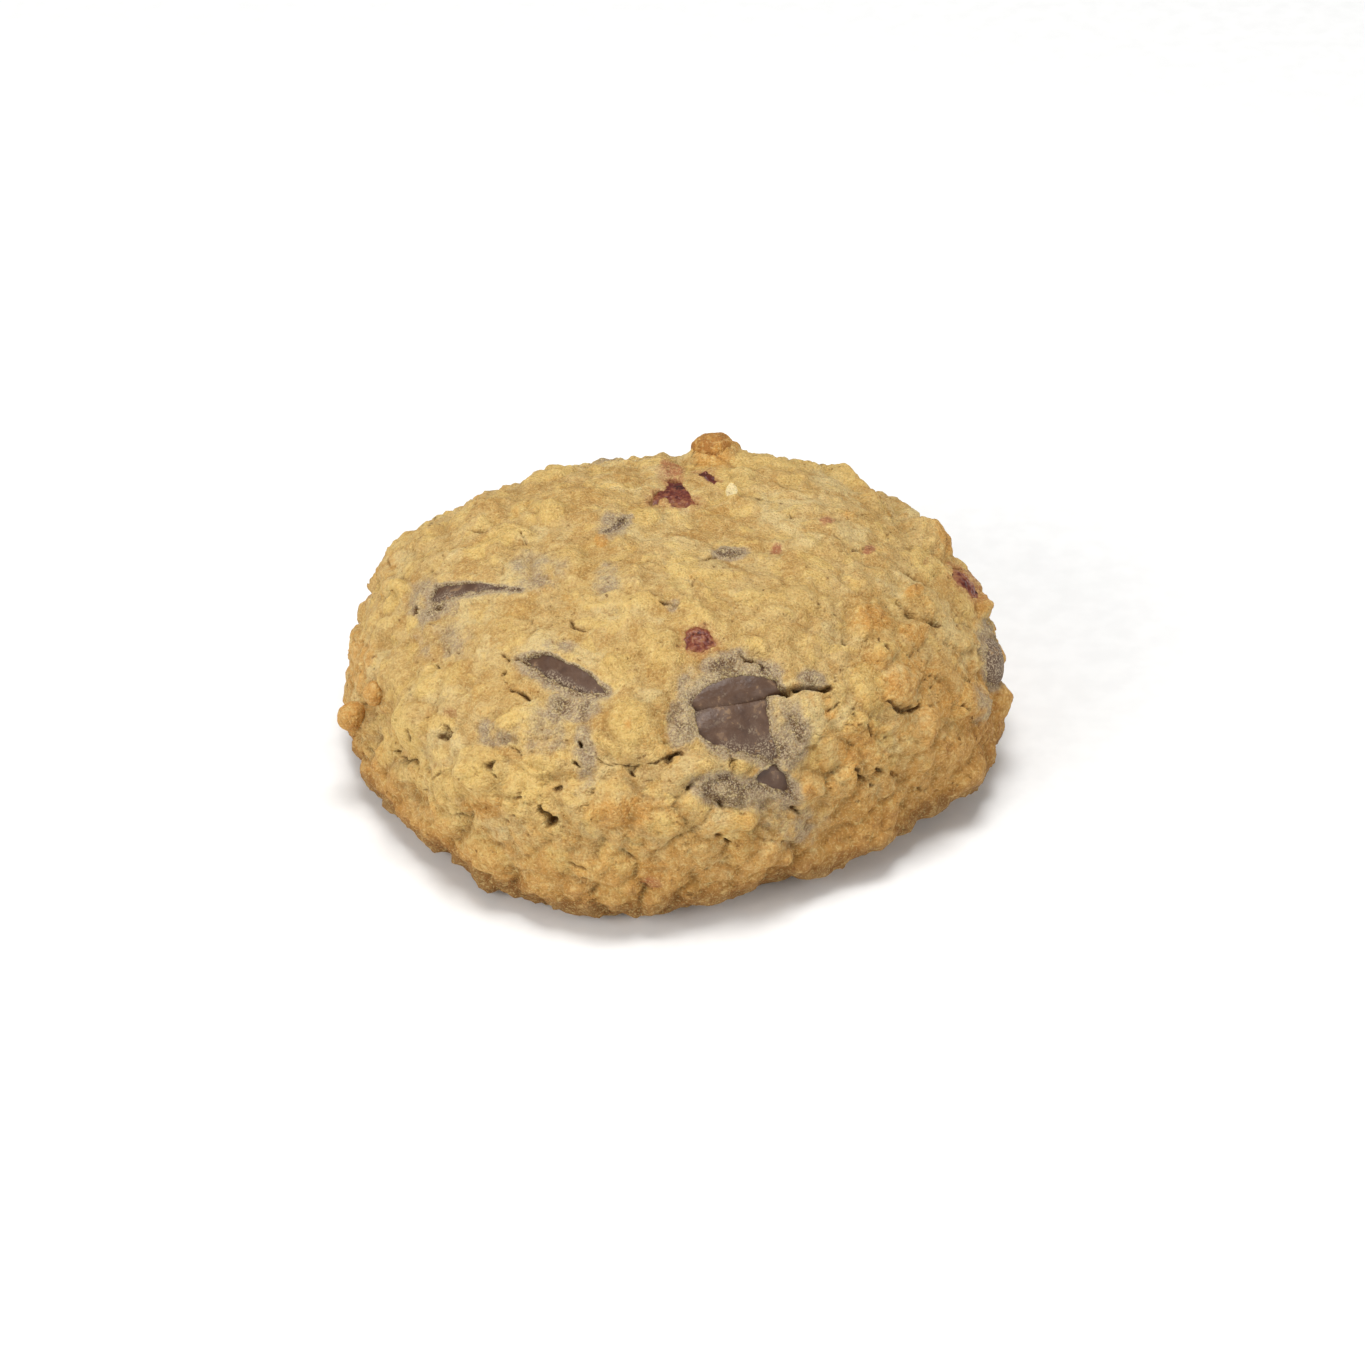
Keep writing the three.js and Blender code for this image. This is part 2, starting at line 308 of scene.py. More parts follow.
@dataclass(frozen=True)
class Spot:
    """An oval place on the crust.

    Attributes:
        bearing: Where it is, round the cookie.
        fall: Where it is, down from the summit.
        along: Half its length.
        across: Half its width.
        height: How high or how strong it is.
        turn: How far its length stands from level.
    """

    bearing: float
    fall: float
    along: float
    across: float
    height: float
    turn: float = 0.0


@dataclass(frozen=True)
class Crack:
    """A narrow opening in the crust.

    Attributes:
        path: Its points, each a bearing and a fall.
        gape: Its width in the middle.
        depth: Its depth in the middle.
    """

    path: Outline
    gape: float
    depth: float


@dataclass(frozen=True)
class Scatter:
    """Ovals strewn over the crust by seeded chance.

    Attributes:
        count: How many there are.
        seed: Where the draws start.
        falls: Where they begin and end.
        along: Shortest and longest half length.
        across: Narrowest and widest, as shares of the half length.
        height: Lowest and highest.
        top_share: Share of the height that is left on the calm top.
    """

    count: int
    seed: int
    falls: Pair
    along: Pair
    across: Pair
    height: Pair
    top_share: float


@dataclass
class Places:
    """Frames of many places on the smooth form, one row each."""

    at: Array
    along: Array
    uphill: Array
    out: Array

    def local(self, row: int, points: Array) -> tuple[Array, Array, Array]:
        """Measures points from one place.

        Args:
            row: Which place.
            points: Rows of x, y, z.

        Returns:
            Distances along, uphill and out.
        """
        off = points - self.at[row]
        return off @ self.along[row], off @ self.uphill[row], off @ self.out[row]

    def near(self, row: int, points: Array, reach: float) -> Array:
        """Says which points lie within reach of one place."""
        return ((points - self.at[row]) ** 2).sum(axis=1) < reach * reach


def bowl_terms(x: Array, y: Array) -> Array:
    """Gives 1, x, y, x squared, x times y and y squared, one row a point."""
    return np.stack([np.ones_like(x), x, y, x * x, x * y, y * y], axis=1)


@dataclass
class CookieForm:
    """The cookie's smooth form and its crags, with the same numbers and draws as the solids."""

    mean_radius: float = 34.2
    height: float = 28.4
    widest_height: float = 6.2
    sunk_underside: float = 4.0
    top_power: float = 2.67
    base_power: float = 2.6
    # How far the widest line rises per mm of x and of y
    rim_rise: Pair = (0.02, 0.005)
    # Where the middle of the solid's box is, before it is moved to 0, 0
    box_middle: Pair = (0.64, -1.41)
    # Waves round the plan: how many, how high, and a crest's bearing
    plan_waves: tuple = ((2, 2.25, 10), (3, 1.1, 22), (4, 0.7, -21))
    swell_count: int = 7
    # The longest and shortest swell
    swell_lengths: Pair = (30, 13)
    swell_height: float = 1.1
    swell_seed: int = 41
    strays: Scatter = Scatter(340, 2051, (10, 112), (1.7, 3.9), (0.55, 0.95), (0.4, 1.35), 0.35)
    top_falls: Pair = (20, 75)
    # Crags that the photo shows: bearing, fall, half length, half width, height, turn
    known: tuple = (
        (261, 45.5, 4.6, 4.2, 1.3, 70), (284.5, 71.2, 1.9, 1.9, 1.8, 0),
        (288, 56.8, 2.6, 1.4, 1.4, 12), (276.5, 56, 3.4, 1.6, 1.2, -10),
        (256.5, 65.2, 4.4, 3.2, 1.5, 0), (268, 69, 3.4, 2.8, 1.3, 20), (259, 84, 2.8, 2.4, 1.2, 0),
        (270, 88, 2.4, 2.2, 1.1, 0), (234.5, 87, 3.6, 2.2, 1.9, 10), (232, 65, 3.8, 3.2, 1.4, 30),
        (211, 61, 4.4, 3.8, 1.6, 60), (237, 48, 4.2, 2.4, 0.8, 0), (246, 51, 4.8, 3.4, 1, 10),
        (226, 82, 3.4, 2.6, 1.6, 0), (215, 96, 4.4, 3, 1.5, 0), (333.5, 40, 3.2, 2.6, 0.9, 0),
        (328.5, 46.5, 2.4, 2.2, 1, 0), (326.5, 55.5, 2.9, 2.5, 1.4, 0), (311, 82, 3.4, 2.4, 1.2, 0),
        (314, 98, 5, 3.4, 1.7, 0), (16, 49, 3.8, 3, 2, 0), (5, 63, 2.4, 2.2, 1.6, 0),
        (354.5, 86, 2.2, 2, 1.6, 0), (345, 76, 2.6, 2.4, 1.3, 0), (234, 14, 4.4, 2.8, 0.6, 0),
        (198, 20, 4, 3, 0.5, 20), (76, 38.5, 4.4, 3.6, 1.9, 0), (64, 37, 5.6, 3.4, 1.1, 0),
        (153, 37, 5.4, 3.8, 1.6, 0), (128, 38, 3.2, 2.4, 0.9, 0), (44, 45, 4, 2.6, 1.4, 0),
    )

    SLOPE_STEP = 0.002
    BOW_STEPS = (-9, -4.5, 0, 4.5, 9)
    BOW_LEAST_SINE = 0.3

    def smooth(self, bearing: Array, fall: Array) -> Array:
        """Finds points of the superellipse dome on its waved plan.

        Args:
            bearing: Bearings in radians.
            fall: Falls in radians.

        Returns:
            Rows of x, y, z.
        """
        radius = np.full(np.shape(bearing), self.mean_radius)
        for count, height, way in self.plan_waves:
            radius = radius + height * np.cos(count * (bearing - math.radians(way)))
        side, rise = np.sin(fall), np.cos(fall)
        power = np.where(rise >= 0, self.top_power, self.base_power)
        reach = (np.abs(side) ** power + np.abs(rise) ** power) ** (-1 / power)
        x = radius * reach * side * np.cos(bearing)
        y = radius * reach * side * np.sin(bearing)
        middle = self.widest_height + self.rim_rise[0] * x + self.rim_rise[1] * y
        over, under = self.height - self.widest_height, self.widest_height + self.sunk_underside
        z = middle + np.where(rise >= 0, over, under) * reach * rise
        return np.stack([x - self.box_middle[0], y - self.box_middle[1], z], axis=-1)

    def frames(self, bearing: Array, fall: Array, turn: Any = 0.0) -> Places:
        """Finds the form's frame at some places.

        Args:
            bearing: Bearings in radians.
            fall: Falls in radians.
            turn: How far each frame is turned about its outward way, in radians.

        Returns:
            The frames: level, uphill and out of the crust.
        """
        step = self.SLOPE_STEP
        level = np.stack([-np.sin(bearing), np.cos(bearing), 0 * bearing], axis=-1)
        down = self.smooth(bearing, fall + step) - self.smooth(bearing, fall - step)
        about = self.smooth(bearing + step, fall) - self.smooth(bearing - step, fall)
        out = np.cross(down, about)
        out /= np.linalg.norm(out, axis=-1, keepdims=True)
        along = level - (level * out).sum(axis=-1, keepdims=True) * out
        along /= np.linalg.norm(along, axis=-1, keepdims=True)
        uphill = np.cross(out, along)
        cos, sin = np.cos(turn), np.sin(turn)
        cos, sin = np.atleast_1d(cos)[:, None], np.atleast_1d(sin)[:, None]
        at = self.smooth(bearing, fall)
        return Places(at, along * cos + uphill * sin, uphill * cos - along * sin, out)

    def places(self, spots: Sequence[Any]) -> Places:
        """Finds the turned frames of anything with a bearing, a fall and a turn."""
        numbers = np.radians([[s.bearing, s.fall, s.turn] for s in spots])
        return self.frames(numbers[:, 0], numbers[:, 1], numbers[:, 2])

    def swell(self, points: Array) -> Array:
        """Adds up the slow swells over the crust.

        Args:
            points: Rows of x, y, z.

        Returns:
            How far the crust swells out at each point.
        """
        draws = Draws(self.swell_seed)
        total = np.zeros(len(points))
        for i in range(self.swell_count):
            share = i / (self.swell_count - 1)
            length = mixed(self.swell_lengths[0], self.swell_lengths[1], share)
            way = np.array([draws.between(-1, 1) for _ in range(3)])
            way = way / np.linalg.norm(way) * FULL_TURN / length
            total += np.sin(points @ way + draws.between(0, FULL_TURN))
        return self.swell_height * total / self.swell_count

    def bow(self, place: Places, spot: Any) -> Array:
        """Fits how the swelled form runs away from a place.

        Args:
            place: The place's frame.
            spot: Anything with the place's bearing and fall.

        Returns:
            Shares of 1, x, y, x squared, x times y and y squared, where x and y are along
            and uphill.
        """
        steps = np.radians(list(product(self.BOW_STEPS, repeat=2)))
        middle = math.radians(spot.fall)
        fall = middle + steps[:, 1]
        sine = max(math.sin(middle), self.BOW_LEAST_SINE)
        bearing = math.radians(spot.bearing) + steps[:, 0] / sine
        frames = self.frames(bearing, fall)
        around = frames.at + frames.out * self.swell(frames.at)[:, None]
        x, y, z = place.local(0, around)
        return np.linalg.lstsq(bowl_terms(x, y), z, rcond=None)[0]

    def strewn(self, scatter: Scatter) -> list[Spot]:
        """Draws ovals, lower on the calm top.

        Args:
            scatter: How many, how big and where.

        Returns:
            The ovals.
        """
        draws = Draws(scatter.seed)
        top, bottom = (math.cos(math.radians(f)) for f in scatter.falls)
        spots = []
        for _ in range(scatter.count):
            bearing = draws.between(0, 360)
            fall = math.degrees(math.acos(draws.between(bottom, top)))
            along = draws.between(*scatter.along)
            across = along * draws.between(*scatter.across)
            share = mixed(scatter.top_share, 1, float(smoothstep(fall, *self.top_falls)))
            height = share * draws.between(*scatter.height)
            spots.append(Spot(bearing, fall, along, across, height, draws.between(0, 180)))
        return spots


@dataclass
class Mounds:
    """Oval mounds on the form, such as crags, flakes or crumbs."""

    form: CookieForm
    spots: list[Spot]
    places: Places = field(init=False)

    MOUND_REACH = 1.6
    PATCH_REACH = 2.2
    PATCH_EDGE = (1.25, 0.45)

    def __post_init__(self) -> None:
        """Works out the mounds' frames."""
        self.places = self.form.places(self.spots)

    def spread(self, row: int, points: Array) -> Array:
        """Measures points from a mound in its half widths.

        Args:
            row: Which mound.
            points: Rows of x, y, z.

        Returns:
            The distances, squared.
        """
        spot = self.spots[row]
        along, uphill, out = self.places.local(row, points)
        return (along / spot.along) ** 2 + (uphill / spot.across) ** 2 + (out / spot.along) ** 2

    def tallest(
        self,
        points: Array,
        floor: Array,
        flatness: float = 1.0,
        softness: float = 0.0,
    ) -> tuple[Array, Array]:
        """Finds the tallest mound at each point.

        Args:
            points: Rows of x, y, z.
            floor: What the mounds stand on.
            flatness: 1 for a rounded mound, and more for a flat top with steep sides.
            softness: 0 for a mound that ends in a crease, and 1 for one that runs out softly.

        Returns:
            The heights, and which mound it is, or -1 for the floor.
        """
        height = floor.copy()
        which = np.full(len(points), -1)
        for row, spot in enumerate(self.spots):
            near = np.flatnonzero(self.places.near(row, points, self.MOUND_REACH * spot.along))
            if len(near) == 0:
                continue
            spread = self.spread(row, points[near])
            sharp = 1 - spread**flatness
            soft = np.clip(1 - spread / 2, 0, 1) ** 2
            rise = spot.height * mixed(sharp, soft, softness)
            higher = rise > height[near]
            height[near[higher]] = rise[higher]
            which[near[higher]] = row
        return height, which

    def strength(self, points: Array, ragged: Array) -> Array:
        """Paints the mounds as soft patches with uneven edges.

        Args:
            points: Rows of x, y, z.
            ragged: How far the edge wanders at each point, in shares of its reach.

        Returns:
            The strongest patch at each point.
        """
        strength = np.zeros(len(points))
        for row, spot in enumerate(self.spots):
            near = np.flatnonzero(self.places.near(row, points, self.PATCH_REACH * spot.along))
            if len(near) == 0:
                continue
            far = np.sqrt(self.spread(row, points[near])) + ragged[near]
            patch = spot.height * smoothstep(far, *self.PATCH_EDGE)
            strength[near] = np.maximum(strength[near], patch)
        return strength


@dataclass(frozen=True)
class Inclusion:
    """A chocolate chunk or strawberry piece that shows through the crust.

    Attributes:
        piece: Its name.
        node: The solid it stands for.
        filling: What it is made of.
        bearing: Where it is, round the cookie.
        fall: Where it is, down from the summit.
        turn: How far its length stands from level.
        size: Its length, width and thickness.
        dimple: How far the crust dips round it.
        lean: How far it tips downhill.
        window: The opening in the crust over it, as corners along and uphill of its middle.
        film: How much of it is under a thin speckled film of dough, at its uphill and
            downhill edge.
        level: How far its top lies under the smooth, swelled form.
        spare: How far it reaches on under the crust, along and uphill, as shares of its size.
        lips: How far the crust stands up round it, at its uphill and downhill edge.
        cloud: How far it clouds or stains the crust, at its uphill and downhill edge.
    """

    piece: str
    node: str
    filling: Filling
    bearing: float
    fall: float
    turn: float
    size: tuple[float, float, float]
    dimple: float
    lean: float = 0.0
    window: Outline = ()
    film: Pair = (0.25, 0.45)
    level: float = 0.4
    spare: Pair = (1.22, 1.22)
    lips: Pair = (0.3, 0.15)
    cloud: Pair = (0.7, 1.3)

    CORNERS = 10
    OVAL_SHARE = 0.4

    def outline(self) -> Outline:
        """Gives the opening, or an uneven oval where none is given.

        Returns:
            Its corners along and uphill of the piece's middle.
        """
        if self.window:
            return self.window
        corners = []
        for i in range(self.CORNERS):
            angle = FULL_TURN * i / self.CORNERS
            uneven = 0.2 * math.sin(2 * angle + self.bearing)
            uneven += 0.16 * math.cos(3 * angle + self.turn)
            reach = self.OVAL_SHARE * (1 + uneven + 0.12 * math.sin(5 * angle + self.fall))
            along, across = self.size[0] * reach, self.size[1] * reach
            corners.append((along * math.cos(angle), across * math.sin(angle)))
        return tuple(corners)


CHOCOLATE, STRAWBERRY = Filling.CHOCOLATE, Filling.STRAWBERRY
INCLUSIONS = (
    Inclusion(
        "chunk_front_upper", "chocolate_front_upper", CHOCOLATE,
        bearing=288.4, fall=41.6, turn=2, size=(10, 3.6, 3.2), dimple=0.7, lean=4,
        window=(
            (-5.4, -0.9), (-3.8, 0.4), (-2.6, 0.6), (-0.7, 0.8), (0.5, 1), (1.7, 0.8), (3.4, 0.1),
            (4.3, -0.6), (4.8, -1.6), (3.2, -2.1), (1.1, -2.2), (-0.5, -2.3), (-2.7, -2.4),
            (-4.9, -2.4), (-5.3, -1.5),
        ),
        film=(0.05, 0), level=0.05, spare=(1.25, 1.06), lips=(0.02, 0), cloud=(2.8, 0.6),
    ),
    Inclusion(
        "chunk_front_lower", "chocolate_front_lower", CHOCOLATE,
        bearing=286.4, fall=52.2, turn=0, size=(9.6, 6, 3.2), dimple=0.9,
        window=(
            (-4.3, 4.3), (-4.4, 1.9), (-4.2, 0.8), (-3.3, -0.4), (-1.4, -1.3), (0.7, -2),
            (2.1, -2.6), (2.9, -3.5), (3.9, -3), (3.8, -1.7), (3.3, -0.1), (3.5, 1.6), (4, 3.4),
            (3.4, 4.8), (0.5, 5), (-1.7, 4.9),
        ),
        film=(0.1, 0.6), level=0.35, spare=(1.25, 1.4), lips=(0, 0), cloud=(0.6, 1.8),
    ),
    Inclusion(
        "chunk_front_low", "chocolate_front_low", CHOCOLATE,
        bearing=290.6, fall=64, turn=-10, size=(4.8, 2.8, 2.4), dimple=0.8,
        window=(
            (-1.4, 0.5), (-0.5, 1.1), (0.9, 1.6), (1.8, 0.7), (2.4, -0.4), (2.8, -1.7), (1.4, -1.3),
            (0, -0.7), (-1.1, -0.3),
        ),
        film=(0, 0.15), level=0.4, spare=(1.35, 1.35), lips=(0.2, 0), cloud=(0.5, 2),
    ),
    Inclusion(
        "chunk_left", "chocolate_left", CHOCOLATE,
        bearing=244.2, fall=36.6, turn=-8, size=(8.2, 3.8, 3.2), dimple=1, lean=8,
        window=(
            (-6.6, -0.8), (-5, 0.5), (-3.9, 0.8), (-2.6, 0.7), (0, 0.6), (2.2, 0), (3.9, -0.7),
            (3.1, -1.4), (1.2, -1.8), (-0.3, -1.9), (-1.6, -1.8), (-4.2, -1.5), (-5.6, -1.1),
        ),
        film=(-0.15, 0.45), level=0.35, spare=(1.9, 1.1), lips=(0.25, 0), cloud=(0.25, 2.2),
    ),
    Inclusion(
        "chunk_far_left", "chocolate_far_left", CHOCOLATE,
        bearing=192, fall=35.6, turn=58, size=(7.4, 2.4, 3), dimple=1.1,
        window=(
            (-5.3, 0.9), (-4, 1), (-1.8, 0.8), (0.6, 0.5), (3, 0.3), (5.6, 0.1), (3, -0.2),
            (0.6, -0.5), (-1.6, -1), (-3.2, -1.4), (-4.6, -1.5), (-5.4, -0.6),
        ),
        film=(0.15, 0.45), level=0.25, spare=(1.8, 1.7), lips=(0.05, -0.1), cloud=(0.5, 1.6),
    ),
    Inclusion(
        "chunk_right_edge", "chocolate_right_edge", CHOCOLATE,
        bearing=354.8, fall=71.5, turn=30, size=(4.8, 4.6, 3.4), dimple=0.6,
        window=(
            (-2.1, -0.8), (-1.2, 0.5), (-1.7, 1.6), (0.2, 2), (1.4, 1.3), (1.2, 0.2), (2.2, -0.9),
            (0.8, -2), (-0.9, -1.6),
        ),
        film=(0.7, 0.7), level=-1, spare=(1.05, 1.05), lips=(0.1, 0.1), cloud=(2, 2),
    ),
    Inclusion(
        "chunk_top", "chocolate_top", CHOCOLATE,
        bearing=150, fall=10.6, turn=100, size=(4.2, 2.2, 2.4), dimple=0.8,
        window=(
            (-0.8, -2.1), (-0.4, -1.1), (-0.1, 0.2), (0.4, 1.3), (0.9, 1.8), (0.8, 0.9),
            (0.35, -0.3), (-0.1, -1.3), (-0.5, -2.1),
        ),
        film=(0.45, 0.7), level=0.4, spare=(1.3, 2), lips=(0.2, 0.1), cloud=(0.9, 1),
    ),
    Inclusion(
        "chunk_back", "chocolate_back", CHOCOLATE,
        bearing=128, fall=60, turn=24, size=(8.4, 5.6, 3.2), dimple=0.9, lean=6,
        film=(0, 0.5), level=0.3, spare=(1.3, 1.3),
    ),
    Inclusion(
        "chunk_back_low", "chocolate_back_low", CHOCOLATE,
        bearing=52, fall=70, turn=-30, size=(6.4, 4.8, 3.2), dimple=0.8,
        film=(0, 0.4), level=0.3, spare=(1.3, 1.3),
    ),
    Inclusion(
        "berry_top", "strawberry_top", STRAWBERRY,
        bearing=86.5, fall=20.2, turn=-8, size=(6.8, 4.6, 2.8), dimple=0.8,
        window=(
            (2.2, 3.9), (2.4, 2.3), (2.2, 0.7), (1.4, -0.1), (1.3, -1.7), (1.8, -3.2), (1.2, -3.8),
            (0.4, -3.3), (-0.4, -2), (-1.4, 0.3), (-3, 1.8), (-2.9, 2.9), (-1.8, 3.8), (-0.5, 3.6),
            (0.6, 2.6), (1.2, 2.6), (1.5, 3.4),
        ),
        film=(0.35, 0), level=0.2, spare=(1.1, 1.95), lips=(0.25, 0.1), cloud=(2.2, 0.5),
    ),
    Inclusion(
        "berry_top_small", "strawberry_top_small", STRAWBERRY,
        bearing=74, fall=26.2, turn=10, size=(3.6, 1.8, 2), dimple=0.6,
        window=(
            (1.8, -1.2), (1, -1.7), (0.1, -1), (-1, 0.1), (-1.7, 1.5), (-0.9, 2.1), (-0.2, 1.1),
            (0.7, 0.5),
        ),
        film=(0, 0.1), level=0.2, spare=(1.3, 2.2), lips=(0.2, 0.1), cloud=(1, 0.6),
    ),
    Inclusion(
        "berry_front", "strawberry_front", STRAWBERRY,
        bearing=280.5, fall=29.6, turn=0, size=(3.8, 4.2, 2.6), dimple=0.6,
        window=(
            (-1.5, 0.1), (-0.9, 1.3), (0.1, 1.6), (1, 0.9), (1.5, -0.2), (1.9, -1.4), (0.7, -1.7),
            (-0.2, -2.1), (-1.6, -1.5),
        ),
        film=(0.42, 0.28), level=0, spare=(1.3, 1.2), lips=(0, 0), cloud=(1.5, 1.5),
    ),
    Inclusion(
        "berry_right_edge", "strawberry_right_edge", STRAWBERRY,
        bearing=5.4, fall=56.4, turn=0, size=(4.4, 4.8, 3), dimple=0.4,
        window=(
            (-2.4, -0.4), (-1.4, 0.5), (-1.7, 1.8), (-0.3, 2.6), (0.5, 1.7), (1.9, 1.9), (2.3, 0.3),
            (1.3, -0.7), (1.4, -2.1), (-0.2, -2.6), (-1, -1.4),
        ),
        film=(0.45, 0.4), level=-0.7, spare=(1.15, 1.15), lips=(0, 0), cloud=(2.4, 2.4),
    ),
    Inclusion(
        "berry_back", "strawberry_back", STRAWBERRY,
        bearing=92, fall=64, turn=15, size=(5.6, 4.4, 2.8), dimple=0.7,
        film=(0.3, 0.2), level=0, spare=(1.2, 1.2),
    ),
    Inclusion(
        "berry_back_left", "strawberry_back_left", STRAWBERRY,
        bearing=160, fall=66, turn=40, size=(4.2, 3.4, 2.6), dimple=0.7,
        film=(0.4, 0.2), level=0, spare=(1.2, 1.2),
    ),
)

# Bits of oat and dough that stand clear of the crust: bearing, fall, radii, how far out, browning
NODULES = (
    (76.5, 38, (2.6, 2.4, 2.2), 0.9, 1.25),
    (194, 77, (1.5, 1.75, 1.6), 1.7, 0.8),
    (197, 67, (1.4, 1.5, 1.2), 0.5, 0.8),
)

# How wide and how deep each crack is in its middle, and its path by bearing and fall
CRACKS = tuple(
    Crack(tuple(path), gape, depth)
    for gape, depth, *path in (
        (1, 2, (296, 44.6), (299.4, 45.6), (302.4, 46.6), (306, 46.8), (308.4, 48.2), (311, 48.8)),
        (0.3, 0.7, (292.2, 35.2), (293.4, 36.8), (296.4, 38.2), (297.6, 39.8)),
        (0.4, 0.9, (222, 39.8), (224.4, 39.2), (228, 38.6), (231, 38.4)),
        (0.24, 0.6, (255.6, 53.8), (258.6, 55.2), (261.6, 55.2), (265.8, 54.8), (268.8, 54.2)),
        (0.4, 1.1, (270, 55.2), (270.6, 53.8), (272.4, 52.8)),
        (0.4, 1, (273.6, 61.3), (274.2, 59.8)),
        (1, 2, (246, 66.2), (246.6, 67.2), (247.8, 67.8), (249, 69.8), (247.8, 71.2)),
        (0.7, 1.4, (206.4, 77.2), (208.2, 76.8), (210, 76.8), (214.8, 72.2)),
        (0.4, 0.8, (221.4, 61.3), (222, 59.8), (222, 58.2)),
        (0.35, 1, (250.8, 50.8), (251.4, 51.8)), (0.35, 1, (251.4, 55.2), (252, 55.8)),
        (0.35, 0.8, (262.8, 56.8), (263.4, 58.2)),
        (0.6, 1.3, (345.6, 41.2), (343.8, 43.8), (343.2, 45.8)),
        (0.45, 1, (321.6, 56.2), (322.8, 58.8), (325.2, 60.8), (328.2, 61.3), (329.4, 60.8)),
        (0.45, 1, (309.6, 69.2), (311.4, 72.2), (313.2, 75.8)),
        (0.5, 1, (315, 70.8), (316.2, 73.8)), (0.5, 1, (318.6, 74.8), (319.8, 78.2)),
        (0.5, 1, (324.6, 84.8), (325.8, 87.2)), (0.3, 0.6, (43.8, 21.8), (37.8, 22.2)),
        (0.3, 0.6, (22.8, 22.2), (19.2, 23.8)), (0.35, 0.8, (326.4, 32.2), (327, 33.8)),
        (0.35, 0.8, (0, 30.8), (0.4, 32.6)),
        (0.3, 0.5, (164.4, 28.2), (168.6, 25.8), (175.2, 24.2)),
        (0.35, 0.6, (227.4, 26.8), (233.4, 27.8), (237, 27.8), (240, 26.8)),
        (0.35, 0.6, (262.8, 20.8), (269.4, 20.2), (275.4, 21.2)),
        (0.5, 1.1, (208.2, 49.8), (210.6, 50.3)), (0.35, 0.8, (224.4, 42.8), (225.6, 41.8)),
        (0.5, 1.2, (279, 74.2), (280.2, 76.2), (281.4, 78.2)),
        (0.3, 0.7, (283.8, 56.8), (282, 57.7)), (0.35, 0.8, (279, 65.2), (279.6, 67.8)),
        (0.35, 0.8, (295.2, 73.2), (296.4, 76.2)), (0.5, 1, (187.8, 48.2), (188.6, 46.8)),
        (0.6, 1.2, (193.2, 44.2), (191.4, 42.8)),
        (0.35, 0.7, (229.8, 44.8), (232.8, 44.8), (236.4, 44.8)),
        (0.4, 0.9, (234.6, 59.8), (235.8, 61.3), (237, 62.8)),
        (0.4, 0.9, (218.4, 78.8), (219.6, 76.8)), (0.3, 0.7, (248.4, 61.8), (249.6, 60.8)),
        (0.35, 0.8, (221.4, 71.8), (224.4, 68.8)), (0.35, 0.7, (214.2, 63.8), (214.4, 67.8)),
        (0.35, 0.8, (322.2, 40.2), (322.8, 41.8)), (0.35, 0.8, (315, 58.8), (315.2, 62.2)),
        (0.4, 0.8, (337.8, 68.8), (339, 71.2)),
        (0.35, 0.6, (166.8, 39.2), (165, 35.8), (163.8, 32.8)),
        (0.35, 0.6, (307.8, 9.8), (330, 9.8)), (0.35, 0.7, (330, 44.2), (328.2, 47.2)),
        (0.35, 0.7, (345.6, 48.8), (346.8, 51.8)),
        (0.6, 1.3, (66, 58), (69, 60.5), (73, 61), (76, 63)),
        (0.5, 1.1, (108, 47), (110, 50), (110.5, 53)),
        (0.7, 1.4, (140, 70), (143, 72.5), (147, 72)), (0.4, 0.9, (57, 50), (60, 51.5), (64, 51)),
        (0.6, 1.2, (97, 78), (99, 81)), (0.5, 1, (117, 73), (119, 75), (122, 75.5)),
        (0.4, 0.8, (82, 45), (86, 46.5), (90, 46)),
    )
)

# Ovals of colour: bearing, fall, half length, half width, strength, turn

# Where melted chocolate has clouded the dough
SMEARED = (
    (289.2, 37.8, 4.1, 2, 1, 169), (297, 55.2, 4.5, 2.8, 0.8, 72),
    (307.8, 45.8, 2.3, 1.4, 0.6, 159), (273, 47.2, 3.3, 1.9, 0.75, 87),
    (285, 51.2, 4, 2.2, 0.9, 173), (281.4, 63.2, 4.7, 1.9, 0.95, 171),
    (295.2, 79.2, 5.9, 2.6, 0.36, 157), (291.6, 69.8, 3.6, 1.6, 0.55, 163),
    (246, 43.8, 3.7, 2.1, 0.72, 13), (252.6, 53.2, 3.6, 1.7, 0.55, 103),
    (234, 37.8, 3.4, 1.5, 0.6, 21), (234.6, 32.8, 2.9, 1.1, 0.35, 24),
    (188.4, 44.2, 5, 2.8, 0.72, 25), (192.6, 36.2, 3.9, 1.5, 0.7, 50),
    (202.2, 46.2, 5.5, 3.1, 0.3, 26), (193.8, 24.2, 4.4, 3.4, 0.42, 25),
    (226.8, 16.2, 3.5, 2, 0.42, 137), (232.8, 54.2, 3, 1.9, 0.45, 16),
    (242.4, 51.2, 4.5, 2.4, 0.35, 15), (153.6, 10.8, 2.9, 2, 0.6, 32),
    (342, 11.2, 2.6, 1.5, 0.85, 110), (271.2, 20.8, 1.1, 1, 0.4, 0),
    (358.8, 68.8, 5.1, 2.7, 0.7, 150), (344.4, 74.2, 3.1, 2.5, 0.4, 116),
    (275.4, 40.2, 3.6, 1.5, 0.6, 85), (124, 67, 4.4, 2.4, 0.7, 20), (134, 54, 3.2, 2, 0.5, 160),
    (56, 76, 3.4, 2, 0.7, 150), (104, 44, 3.6, 2, 0.4, 10),
)

